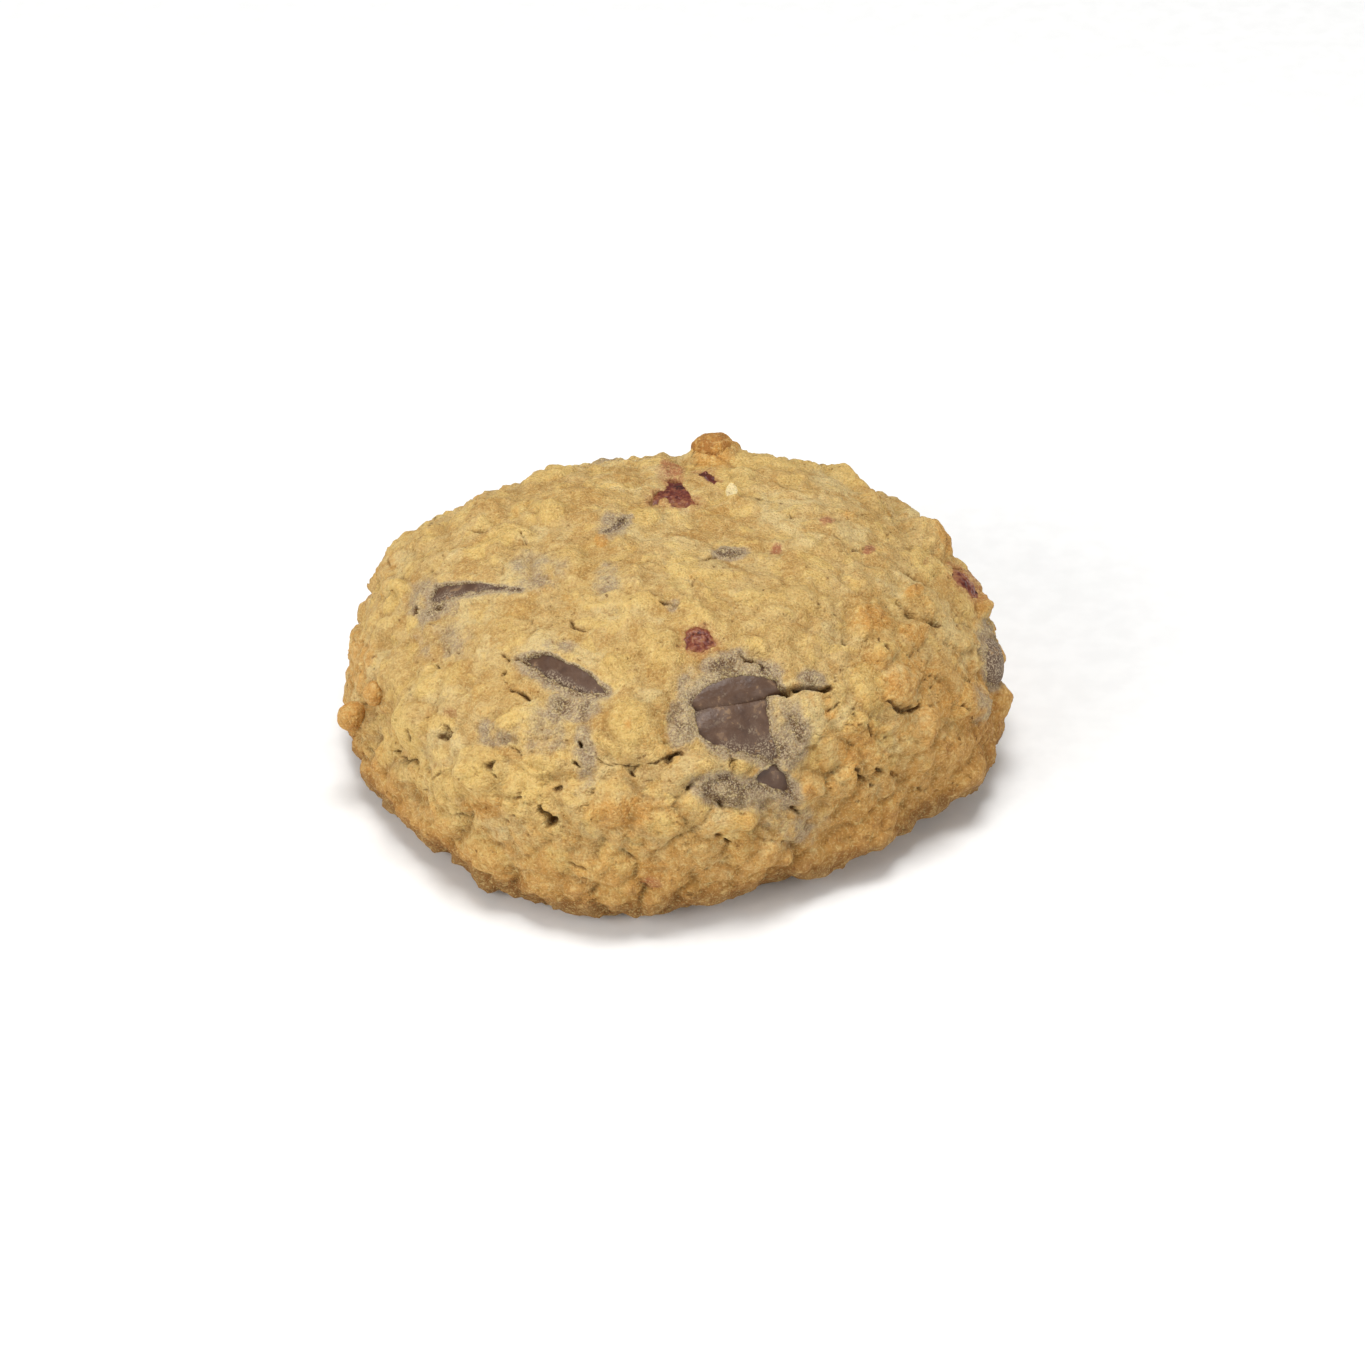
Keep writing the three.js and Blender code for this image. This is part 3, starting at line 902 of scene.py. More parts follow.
# Where strawberry juice has run into the dough
STAINED = (
    (89.4, 29.2, 5.1, 2, 0.8, 92), (354.6, 18.2, 1, 0.9, 0.9, 131), (2.4, 33.8, 1.5, 0.9, 0.9, 155),
    (14.4, 27.2, 1.4, 1, 0.8, 144), (280.8, 29.8, 2.5, 1.7, 0.8, 76),
    (10.8, 60.3, 5.5, 2.1, 0.7, 147), (220.8, 55.2, 1.2, 0.7, 0.5, 21),
    (230.4, 52.8, 1.3, 0.9, 0.35, 14), (266.4, 86.8, 1.5, 1.1, 0.7, 171),
    (280.8, 31.3, 2.2, 1.6, 0.4, 178), (6, 46.2, 1.9, 0.8, 0.5, 144),
    (300, 57.2, 0.7, 0.4, 0.5, 163), (74.4, 26.3, 2.5, 1.8, 0.5, 105), (90, 69, 3.6, 1.7, 0.6, 10),
    (162, 71, 2.6, 1.4, 0.5, 30),
)

# Where the oven has browned the crust
BROWNED = (
    (76.2, 38.8, 6.1, 2.9, 0.9, 102), (189, 83.2, 4.6, 1.8, 1, 37), (17.4, 53.2, 5.2, 2, 0.85, 140),
    (3.6, 61.3, 3.9, 1.5, 0.7, 148), (334.2, 40.8, 3.3, 2, 0.75, 147),
    (339.6, 47.8, 2.9, 1.7, 0.7, 149), (351, 43.2, 1.3, 0.8, 0.8, 151),
    (325.8, 54.8, 2.9, 2, 0.8, 154), (312, 63.2, 3.3, 2.6, 0.65, 150),
    (316.8, 91.8, 4.3, 2.3, 0.7, 141), (347.4, 86.2, 11.4, 5.3, 0.75, 120),
    (335.4, 83.8, 6, 2.6, 0.5, 139), (261, 65.8, 3.8, 2, 0.65, 4), (232.2, 94.8, 3.3, 1.4, 0.8, 38),
    (235.8, 70.8, 3.6, 1.5, 0.55, 24), (266.4, 86.8, 2.8, 1.6, 0.7, 174),
    (283.2, 70.8, 1.4, 1, 0.25, 150), (298.8, 70.2, 1, 0.8, 0.9, 113),
    (19.2, 32.2, 1.8, 1.1, 0.6, 141), (177, 11.8, 1.4, 0.7, 0.9, 6), (232.2, 43.8, 2.5, 1, 0.5, 22),
    (261, 47.2, 0.9, 0.6, 0.8, 98), (180, 73.2, 8.8, 4.1, 0.6, 22), (144, 45.2, 4.8, 1.8, 0.5, 58),
    (163.8, 57.2, 5.6, 2.1, 0.45, 37), (180, 84.2, 4.1, 1.6, 0.6, 36),
    (267.6, 82.8, 4.1, 1.6, 0.45, 175), (291, 88.8, 4, 1.5, 0.4, 159),
    (250.8, 89.2, 3.5, 1.3, 0.4, 12), (330.6, 50.3, 5.3, 3, 0.4, 149),
    (306.6, 50.3, 1.6, 1.3, 0.35, 167), (307.8, 53.8, 0.9, 0.6, 0.7, 161),
    (331.8, 61.8, 6.2, 5.4, 0.35, 156), (100, 81, 5, 2.4, 0.6, 10), (70, 68, 4.2, 2.6, 0.6, 30),
    (141, 79, 5.6, 3, 0.6, 0), (113, 57, 3.4, 2.2, 0.5, 140),
)

# Oats near the surface, paler and yellower than the dough
PALE = (
    (211.2, 65.8, 3.9, 2.8, 0.9, 29), (236.4, 50.3, 2.4, 1.5, 0.8, 14),
    (232.8, 63.8, 2.7, 1.5, 0.8, 23), (244.2, 56.8, 2.5, 1.5, 0.7, 15),
    (261, 46.8, 3.5, 2.3, 0.7, 98), (267, 51.8, 1.7, 1.5, 0.45, 91),
    (268.2, 68.8, 2.1, 1.5, 0.8, 176), (249.6, 79.8, 1.9, 1.5, 0.7, 65),
    (255.6, 81.8, 1.5, 1.3, 0.7, 22), (285.6, 57.7, 2.7, 1.1, 1, 170),
    (283.2, 70.8, 1.6, 1.3, 0.9, 141), (328.2, 46.8, 1.8, 1.2, 0.8, 153),
    (177.6, 49.8, 2.4, 0.9, 1, 44), (149.4, 22.8, 1.7, 1.3, 0.7, 55),
    (165.6, 27.8, 2.6, 1.7, 0.6, 66), (55.8, 20.2, 2, 0.9, 1.3, 123),
    (298.2, 34.8, 1.4, 1, 0.8, 167), (255, 19.8, 2.8, 1.6, 0.6, 11), (267, 28.8, 2.1, 1.7, 0.5, 4),
    (234, 20.8, 3.3, 1.6, 0.5, 27), (194.4, 19.8, 3.9, 2.5, 0.4, 58),
    (273.6, 63.8, 1.7, 1.1, 0.4, 174), (211.2, 52.8, 4.6, 2.3, 0.4, 26),
    (283.2, 25.8, 1.7, 1.5, 0.6, 178), (318.6, 27.2, 5.5, 3, 0.35, 142),
    (227.4, 82.8, 2.7, 1.3, 0.5, 40), (211.8, 79.2, 2.9, 1.1, 0.6, 34),
    (262.8, 28.2, 2.3, 1.5, 0.5, 98), (82, 76, 3.2, 2, 0.8, 20), (114, 66, 2.8, 1.9, 0.8, 0),
    (147, 60, 3.2, 2.1, 0.7, 30), (60, 62, 3, 1.9, 0.7, 120),
)


def geodesic_ball(frequency: int) -> tuple[Array, Array]:
    """Makes a ball of nearly equal triangles.

    Args:
        frequency: How many parts each edge of the icosahedron is cut into.

    Returns:
        Unit vectors, and triangles as rows of three vertex numbers.
    """
    golden = (1 + math.sqrt(5)) / 2
    corners = []
    for a, b in product((-1, 1), repeat=2):
        corners += [(0, a, b * golden), (a, b * golden, 0), (b * golden, 0, a)]
    corners = np.array(corners, float)
    edge, close = 2.0, 1e-6
    gaps = np.linalg.norm(corners[:, None] - corners[None], axis=2)
    touching = np.abs(gaps - edge) < close
    sides = []
    for i, j, k in product(range(12), repeat=3):
        if i < j < k and touching[i, j] and touching[j, k] and touching[i, k]:
            turned = np.dot(np.cross(corners[j] - corners[i], corners[k] - corners[i]), corners[i])
            sides.append((i, j, k) if turned > 0 else (i, k, j))
    rows = [(i, j) for i in range(frequency + 1) for j in range(frequency + 1 - i)]
    number = {row: n for n, row in enumerate(rows)}
    shares = np.array([(frequency - i - j, i, j) for i, j in rows]) / frequency
    small = []
    for i, j in rows:
        if i + j < frequency:
            small.append((number[i, j], number[i + 1, j], number[i, j + 1]))
        if i + j < frequency - 1:
            small.append((number[i + 1, j], number[i + 1, j + 1], number[i, j + 1]))
    small = np.array(small)
    points = np.concatenate([shares @ corners[list(side)] for side in sides])
    points /= np.linalg.norm(points, axis=1, keepdims=True)
    triangles = np.concatenate([small + n * len(rows) for n in range(len(sides))])
    # Corners that fall in the same small box are one. The shift keeps round numbers off its edges
    boxes, shift = 1e5, 0.2137
    keys = np.round(points * boxes + shift).astype(np.int64)
    _, first, joined = np.unique(keys, axis=0, return_index=True, return_inverse=True)
    return points[first], joined.reshape(-1)[triangles]


def to_segments(points: Array, line: Array, closed: bool) -> tuple[Array, ...]:
    """Finds the nearest place of a line for each point.

    Args:
        points: Rows of coordinates.
        line: The line's corners, with as many coordinates.
        closed: Whether the last corner joins the first.

    Returns:
        The distances, the nearest places, and how far along the line they are from 0 to 1.
    """
    ends = np.roll(line, -1, axis=0) if closed else line[1:]
    starts = line if closed else line[:-1]
    lengths = np.linalg.norm(ends - starts, axis=1)
    passed = np.concatenate([[0], np.cumsum(lengths)])
    best = np.full(len(points), np.inf)
    foot = np.zeros_like(points)
    along = np.zeros(len(points))
    for n, (start, end) in enumerate(zip(starts, ends)):
        way = end - start
        share = np.clip((points - start) @ way / (way @ way), 0, 1)
        place = start + share[:, None] * way
        far = np.linalg.norm(points - place, axis=1)
        nearer = far < best
        best[nearer] = far[nearer]
        foot[nearer] = place[nearer]
        along[nearer] = (passed[n] + share[nearer] * lengths[n]) / passed[-1]
    return best, foot, along


def beside(points: Array, line: Array, skirt: float) -> Array:
    """Finds the points in a ball about a line.

    Args:
        points: Rows of x, y, z.
        line: The line's corners.
        skirt: How far the ball reaches beyond the corners.

    Returns:
        The points' row numbers.
    """
    middle = line.mean(axis=0)
    reach = np.linalg.norm(line - middle, axis=1).max() + skirt
    return np.flatnonzero(((points - middle) ** 2).sum(axis=1) < reach * reach)


def inside_outline(points: Array, corners: Array) -> Array:
    """Says which flat points lie inside a closed outline.

    Args:
        points: Rows of x and y.
        corners: The outline's corners.

    Returns:
        True for each point inside.
    """
    inside = np.zeros(len(points), bool)
    for start, end in zip(corners, np.roll(corners, -1, axis=0)):
        crosses = (start[1] > points[:, 1]) != (end[1] > points[:, 1])
        rise = end[1] - start[1]
        rise = rise if abs(rise) > TINY else TINY
        side = points[:, 0] < (end[0] - start[0]) * (points[:, 1] - start[1]) / rise + start[0]
        inside ^= crosses & side
    return inside


def make_mesh(
    name: str, points: Array, triangles: Array, masks: dict[str, Array]
) -> bpy.types.Object:
    """Makes a smooth-shaded Blender mesh.

    Args:
        name: The piece's name.
        points: Rows of x, y, z in millimetres.
        triangles: Rows of three vertex numbers.
        masks: One number a vertex for each mask that the material reads.

    Returns:
        The object, linked to the scene.
    """
    mesh = bpy.data.meshes.new(name)
    mesh.vertices.add(len(points))
    mesh.vertices.foreach_set("co", (points * MM).astype(np.float32).ravel())
    mesh.loops.add(triangles.size)
    mesh.loops.foreach_set("vertex_index", triangles.astype(np.int32).ravel())
    mesh.polygons.add(len(triangles))
    mesh.polygons.foreach_set("loop_start", np.arange(0, triangles.size, 3, dtype=np.int32))
    mesh.update(calc_edges=True)
    mesh.validate()
    mesh.polygons.foreach_set("use_smooth", np.ones(len(triangles), bool))
    for mask, values in masks.items():
        layer = mesh.attributes.new(mask, "FLOAT", "POINT")
        layer.data.foreach_set("value", values.astype(np.float32))
    mesh.update()
    piece = bpy.data.objects.new(name, mesh)
    bpy.context.scene.collection.objects.link(piece)
    return piece


def vertex_normals(points: Array, triangles: Array) -> Array:
    """Averages the facets' normals at each vertex.

    Args:
        points: Rows of x, y, z.
        triangles: Rows of three vertex numbers.

    Returns:
        Unit normals.
    """
    corners = points[triangles]
    facing = np.cross(corners[:, 1] - corners[:, 0], corners[:, 2] - corners[:, 0])
    total = np.zeros_like(points)
    for axis in range(3):
        for corner in range(3):
            total[:, axis] += np.bincount(triangles[:, corner], facing[:, axis], len(points))
    return total / np.maximum(np.linalg.norm(total, axis=1, keepdims=True), TINY)


def relaxed(values: Array, triangles: Array, rounds: int) -> Array:
    """Averages each vertex's numbers with its neighbours'.

    Args:
        values: One row of numbers a vertex.
        triangles: Rows of three vertex numbers.
        rounds: How many times it is done.

    Returns:
        The evened numbers.
    """
    pairs = np.concatenate([triangles[:, [0, 1]], triangles[:, [1, 2]], triangles[:, [2, 0]]])
    count = np.bincount(pairs[:, 0], minlength=len(values))[:, None]
    for _ in range(rounds):
        total = np.stack(
            [np.bincount(pairs[:, 0], column[pairs[:, 1]], len(values)) for column in values.T],
            axis=1,
        )
        values = (values + total / count) / 2
    return values


def add_node(
    tree: bpy.types.NodeTree,
    kind: str,
    inputs: dict[Any, Any] | None = None,
    output: Any = 0,
    **settings: Any,
) -> bpy.types.NodeSocket:
    """Adds a node with its settings and links.

    Args:
        tree: The material's or world's node tree.
        kind: The node's type, without "ShaderNode".
        inputs: For each input, the output that feeds it or its value.
        output: Which of its outputs is wanted.
        settings: The node's own properties.

    Returns:
        The wanted output, or the node's first input where it has no output.
    """
    node = tree.nodes.new("ShaderNode" + kind)
    for name, value in settings.items():
        setattr(node, name, value)
    for name, value in (inputs or {}).items():
        if isinstance(value, bpy.types.NodeSocket):
            tree.links.new(value, node.inputs[name])
        else:
            node.inputs[name].default_value = value
    return node.outputs[output] if node.outputs else node.inputs[0]


def per_mm(period: float) -> float:
    """Turns a pattern's bump distance in mm to a scale."""
    return 1 / (period * MM)


class Paint:
    """A material while it is made, with its colour laid on coat by coat."""

    def __init__(self, name: str, ground: str, masks: Sequence[str] = ()) -> None:
        """Starts with one colour.

        Args:
            name: The material's name.
            ground: The colour in sRGB hex.
            masks: Which of the mesh's masks it reads.
        """
        self.made = bpy.data.materials.new(name)
        self.made.use_nodes = True
        self.made.node_tree.nodes.clear()
        self.add = partial(add_node, self.made.node_tree)
        self.place = self.add("TexCoord", output="Object")
        self.colour: Any = linear(ground)
        source = {"output": "Fac", "attribute_type": "GEOMETRY"}
        self.masks = {name: self.add("Attribute", attribute_name=name, **source) for name in masks}

    def coat(
        self,
        colour: str,
        pattern: Any,
        low: float,
        high: float,
        cover: float = 1.0,
        within: Any = 1.0,
    ) -> None:
        """Lays a colour where a pattern runs from low to high.

        Args:
            colour: The colour in sRGB hex.
            pattern: The pattern.
            low: Where the coat begins.
            high: Where it covers fully.
            cover: How much it hides there.
            within: Another pattern, which the coat keeps to.
        """
        ends = {0: pattern, 1: low, 2: high, 3: 0.0, 4: cover}
        share = self.add("MapRange", ends, interpolation_type="SMOOTHSTEP")
        share = self.add("Math", {0: share, 1: within}, operation="MULTIPLY")
        layers = {0: share, 6: self.colour, 7: linear(colour)}
        self.colour = self.add("Mix", layers, output=2, data_type="RGBA")

    def shifted(self, period: float, reach: float) -> bpy.types.NodeSocket:
        """Pushes the coordinates about, so that a pattern loses its regular edges.

        Args:
            period: Distance from push to push, in mm.
            reach: How far a point is pushed at most, in mm.

        Returns:
            The pushed coordinates.
        """
        push = self.add("TexNoise", {"Vector": self.place, "Scale": per_mm(period)}, output=1)
        middle = self.add("VectorMath", {0: push, 1: (0.5,) * 3}, operation="SUBTRACT")
        ways = {0: middle, 1: (2 * reach * MM,) * 3, 2: self.place}
        return self.add("VectorMath", ways, operation="MULTIPLY_ADD")

    def finished(self, surface: dict[str, Any], **settings: Any) -> bpy.types.Material:
        """Adds the surface.

        Args:
            surface: The shader's inputs, apart from its colour.
            settings: The shader's own properties.

        Returns:
            The finished material.
        """
        skin = self.add("BsdfPrincipled", {"Base Color": self.colour, **surface}, **settings)
        self.add("OutputMaterial", {"Surface": skin})
        return self.made


@dataclass(frozen=True)
class DoughFilm:
    """A thin film of dough and flour over chocolate: a grey haze with fine specks.

    The specks are 0.1 to 0.15 mm on the real one, and are drawn at 0.2 mm so that they show.
    """

    haze: str = "99866f"
    thin: str = "584235"
    dark: str = "5a4536"
    light: str = "c0ad8e"
    speck: float = 0.2
    patch: float = 1.3

    def lay(self, paint: Paint, cover: Any) -> None:
        """Lays the film on a material.

        Args:
            paint: The material.
            cover: 0 for plain dough, 0.5 for clouded dough and 1 for bare chocolate.
        """
        speck = paint.add(
            "TexNoise", {"Vector": paint.place, "Scale": per_mm(self.speck), "Detail": 1.0}
        )
        patch = paint.add("TexNoise", {"Vector": paint.place, "Scale": per_mm(self.patch)})
        patch = paint.add("Math", {0: patch, 1: 0.5}, operation="SUBTRACT")
        uneven = paint.add("Math", {0: patch, 1: 0.5, 2: cover}, operation="MULTIPLY_ADD")
        paint.coat(self.haze, uneven, 0.06, 0.5, 0.85)
        paint.coat(self.thin, uneven, 0.52, 0.9, 0.94)
        paint.coat(self.dark, speck, 0.5, 0.68, 0.5, uneven)
        ends = {0: uneven, 1: 1.15, 2: 0.8, 3: 0.0, 4: 1.0}
        grainy = paint.add("MapRange", ends, interpolation_type="SMOOTHSTEP")
        grainy = paint.add("Math", {0: grainy, 1: uneven}, operation="MULTIPLY")
        paint.coat(self.light, speck, 0.54, 0.36, 0.8, grainy)


@dataclass(frozen=True)
class BakedOatDough:
    """Oat cookie dough, dropped and baked: matt, sandy, with each oat a little its own tone.

    The grain of sugar and flour is 0.1 mm on the real one, and is drawn at 0.25 mm so that
    it shows. Oats and butter make the yellow, the oven the tan. Painted shade darkens its
    hollows, cracks, pits and the parts that face down, and a faint painted highlight lightens
    the proud bits. Grain, crumb, mottle and cloud are its patterns' bump distances in mm.
    """

    ground: str = "c1a26b"
    golden: str = "bc995d"
    yellow: str = "d2b068"
    straw: str = "d0ba86"
    cream: str = "e6d3a2"
    tan: str = "ac8144"
    toasted: str = "c08a43"
    deep_toasted: str = "945c28"
    juice: str = "9a5440"
    crease: str = "583818"
    shade: str = "84622f"
    sugar_and_highlight: str = "e9d08e"
    # Painted shade for where the crust faces down, away from the lights
    under_shade: str = "76532c"
    grain: float = 0.25
    crumb: float = 0.7
    mottle: float = 1.7
    cloud: float = 6.5
    roughness: float = 0.82

    MASKS = ("browned", "pale", "smeared", "stained", "crease", "valley", "under", "oat", "crumb")

    def tones(self, paint: Paint, mottle: Any) -> None:
        """Gives each oat and crumb its own tone.

        Args:
            paint: The material.
            mottle: A pattern of soft patches.
        """
        cloud = paint.add("TexNoise", {"Vector": paint.place, "Scale": per_mm(self.cloud)})
        oat, crumb = paint.masks["oat"], paint.masks["crumb"]
        paint.coat(self.golden, cloud, 0.38, 0.62, 0.85)
        paint.coat(self.straw, oat, 0.6, 0.85, 0.55)
        paint.coat(self.tan, oat, 0.36, 0.1, 0.6)
        paint.coat(self.yellow, crumb, 0.66, 0.9, 0.5)
        paint.coat(self.tan, crumb, 0.32, 0.08, 0.5)
        paint.coat(self.yellow, mottle, 0.52, 0.74, 0.4)
        paint.coat(self.tan, mottle, 0.47, 0.28, 0.45)

    def material(self) -> bpy.types.Material:
        """Builds the material.

        Returns:
            The baked dough, which reads the crust's masks.
        """
        paint = Paint("baked_oat_dough", self.ground, self.MASKS)
        mottle, crumb, grain = (
            paint.add(
                "TexNoise", {"Vector": paint.place, "Scale": per_mm(period), "Detail": detail}
            )
            for period, detail in ((self.mottle, 3.0), (self.crumb, 2.0), (self.grain, 1.0))
        )
        self.tones(paint, mottle)
        paint.coat(self.yellow, paint.masks["pale"], 0.0, 1.0, 0.85)
        paint.coat(self.cream, paint.masks["pale"], 0.95, 1.2, 0.9)
        uneven = paint.add("Math", {0: mottle, 1: 0.5}, operation="SUBTRACT")
        wet = paint.add("Math", {0: crumb, 1: 0.5}, operation="SUBTRACT")
        worn = paint.add(
            "Math", {0: uneven, 1: 1.1, 2: paint.masks["browned"]}, operation="MULTIPLY_ADD"
        )
        worn = paint.add("Math", {0: wet, 1: 1.0, 2: worn}, operation="MULTIPLY_ADD")
        paint.coat(self.toasted, worn, 0.1, 0.95, 0.85)
        paint.coat(self.deep_toasted, worn, 0.8, 1.4, 0.7)
        wet = paint.add(
            "Math", {0: wet, 1: 0.7, 2: paint.masks["stained"]}, operation="MULTIPLY_ADD"
        )
        paint.coat(self.juice, wet, 0.2, 1.0, 0.8)
        DoughFilm().lay(paint, paint.masks["smeared"])
        # Painted shade where the crust faces down
        paint.coat(self.under_shade, paint.masks["under"], 0.0, 1.0, 0.75)
        # Painted shade in the hollows, and a faint painted highlight on the proud bits
        paint.coat(self.shade, paint.masks["valley"], 0.5, 1.0, 0.24)
        paint.coat(self.sugar_and_highlight, paint.masks["valley"], 0.5, 0.0, 0.08)
        # Painted shade in cracks, gaps and deep hollows
        paint.coat(self.crease, paint.masks["crease"], 0.0, 1.0, 0.9)
        paint.coat(self.shade, crumb, 0.54, 0.72, 0.22)
        paint.coat(self.sugar_and_highlight, crumb, 0.46, 0.28, 0.22)
        paint.coat(self.shade, grain, 0.52, 0.7, 0.26)
        paint.coat(self.sugar_and_highlight, grain, 0.48, 0.3, 0.26)
        # Painted shade of tiny pits, as dark flecks
        paint.coat(self.crease, crumb, 0.69, 0.77, 0.6)
        grit = paint.add("Math", {0: crumb, 1: 0.9, 2: grain}, operation="MULTIPLY_ADD")
        bump = {"Height": grit, "Strength": 1.0, "Distance": 0.26 * MM}
        return paint.finished(
            {
                "Roughness": self.roughness,
                "IOR": 1.45,
                "Specular IOR Level": 0.25,
                "Subsurface Weight": 0.1,
                "Subsurface Radius": (1.0, 0.55, 0.25),
                "Subsurface Scale": 0.9 * MM,
                "Normal": paint.add("Bump", bump),
            },
            subsurface_method="RANDOM_WALK",
        )


@dataclass(frozen=True)
class SetChocolate:
    """Chocolate that melted in the oven and set again: dull brown with a faint grey bloom.

    Marbling, swirl and grain are its patterns' bump distances in mm.
    """

    ground: str = "553d2d"
    bloom: str = "6a5241"
    dark: str = "422d22"
    crumb: str = "9a7a55"
    marbling: float = 1.6
    swirl: float = 2.0
    swirl_reach: float = 0.8
    grain: float = 0.4
    roughness: float = 0.42
    filmed_roughness: float = 0.85

    def material(self) -> bpy.types.Material:
        """Builds the material.

        Returns:
            The set chocolate, which reads the film mask.
        """
        paint = Paint("set_chocolate", self.ground, ["film"])
        film = paint.masks["film"]
        pushed = paint.shifted(self.swirl, self.swirl_reach)
        coarse = paint.add(
            "TexNoise", {"Vector": pushed, "Scale": per_mm(self.marbling), "Detail": 4.0}
        )
        fine = paint.add("TexNoise", {"Vector": paint.place, "Scale": per_mm(self.grain)})
        bare = paint.add("Math", {0: film, 1: -0.45, 2: 1.12}, operation="MULTIPLY_ADD")
        DoughFilm().lay(paint, bare)
        clean = paint.add("Math", {0: 0.32, 1: film}, operation="SUBTRACT")
        paint.coat(self.ground, clean, 0.0, 0.22)
        crumbs = paint.add("Math", {0: fine, 1: 0.5, 2: coarse}, operation="MULTIPLY_ADD")
        paint.coat(self.crumb, crumbs, 0.88, 0.93, 0.7)
        bloomed = paint.add("MapRange", {0: clean, 1: -0.1, 2: 0.2})
        paint.coat(self.bloom, coarse, 0.45, 0.7, 0.75, bloomed)
        darkened = paint.add("MapRange", {0: clean, 1: -0.2, 2: 0.2})
        paint.coat(self.dark, coarse, 0.45, 0.3, 0.6, darkened)
        height = paint.add("Math", {0: film, 1: 0.4, 2: fine}, operation="MULTIPLY_ADD")
        bump = {"Height": height, "Strength": 0.5, "Distance": 0.12 * MM}
        ends = {0: film, 1: 0.1, 2: 0.5, 3: self.roughness, 4: self.filmed_roughness}
        return paint.finished(
            {
                "Roughness": paint.add("MapRange", ends),
                "IOR": 1.47,
                "Specular IOR Level": 0.4,
                "Normal": paint.add("Bump", bump),
            }
        )


@dataclass(frozen=True)
class BakedStrawberry:
    """Dried strawberry, baked: wine red, wrinkled and slightly sticky, so that it glints.

    Where a skin of dough lies over it, it shows through pink and orange. Its glints are
    painted on as pale flecks. Wrinkle and grain are its patterns' bump distances in mm.
    """

    ground: str = "59221a"
    dark: str = "300e0b"
    pink: str = "80442f"
    skin: str = "9c6a45"
    sugar_and_highlight: str = "b98f7c"
    wrinkle: float = 1.3
    grain: float = 0.45
    roughness: float = 0.42

    def material(self) -> bpy.types.Material:
        """Builds the material.

        Returns:
            The baked strawberry, which reads the film mask.
        """
        paint = Paint("baked_strawberry", self.ground, ["film"])
        coarse = paint.add(
            "TexNoise", {"Vector": paint.place, "Scale": per_mm(self.wrinkle), "Detail": 3.0}
        )
        fine = paint.add("TexNoise", {"Vector": paint.place, "Scale": per_mm(self.grain)})
        paint.coat(self.dark, coarse, 0.52, 0.34, 0.9)
        paint.coat(self.pink, coarse, 0.56, 0.76, 0.5)
        # Painted glints: pale flecks where light would catch the sticky skin
        paint.coat(self.sugar_and_highlight, fine, 0.66, 0.74, 0.5)
        uneven = paint.add(
            "Math", {0: paint.masks["film"], 1: 0.8, 2: fine}, operation="MULTIPLY_ADD"
        )
        paint.coat(self.pink, uneven, 0.6, 0.9, 0.8)
        paint.coat(self.skin, uneven, 0.8, 1.15, 0.9)
        bump = {"Height": fine, "Strength": 0.6, "Distance": 0.25 * MM}
        return paint.finished(
            {
                "Roughness": self.roughness,
                "IOR": 1.45,
                "Specular IOR Level": 0.4,
                "Subsurface Weight": 0.15,
                "Subsurface Radius": (1.0, 0.3, 0.2),
                "Subsurface Scale": 0.8 * MM,
                "Normal": paint.add("Bump", bump),
            },
            subsurface_method="RANDOM_WALK",
        )


@dataclass(frozen=True)
class BackdropPaper:
    """Matt white studio paper with the faint tooth of its felt."""

    sheet: str = "f6f6f5"
    tooth: str = "f2f2f1"
    felt: float = 3.0
    roughness: float = 0.9

    def material(self) -> bpy.types.Material:
        """Builds the material.

        Returns:
            The paper.
        """
        paint = Paint("backdrop_paper", self.sheet)
        felt = paint.add("TexNoise", {"Vector": paint.place, "Scale": per_mm(self.felt)})
        paint.coat(self.tooth, felt, 0.3, 0.7)
        return paint.finished({"Roughness": self.roughness, "Specular IOR Level": 0.1})


@dataclass
class Skin:
    """The crust's vertices while it is shaped.

    Attributes:
        triangles: Rows of three vertex numbers.
        bearing: Bearings in radians.
        fall: Falls in radians.
        frames: The form's frame at each vertex.
        height: How far each vertex stands out of the smooth form.
        marks: Numbers a vertex that are worked out on the way.
    """

    triangles: Array
    bearing: Array
    fall: Array
    frames: Places
    height: Array = field(init=False)
    marks: dict[str, Array] = field(default_factory=dict)

    def __post_init__(self) -> None:
        """Starts on the smooth form."""
        self.height = np.zeros(len(self.bearing))

    @property
    def at(self) -> Array:
        """Points of the smooth form."""
        return self.frames.at

    @property
    def degrees(self) -> Array:
        """Falls in degrees."""
        return np.degrees(self.fall)

    def pushed(self, reach: float, period: float, seed: int) -> Array:
        """Pushes the points about, so that shapes lose their even edges."""
        push = [SoftNoise(period, seed + i).at(self.at) for i in range(3)]
        return self.at + reach * np.stack(push, axis=1)


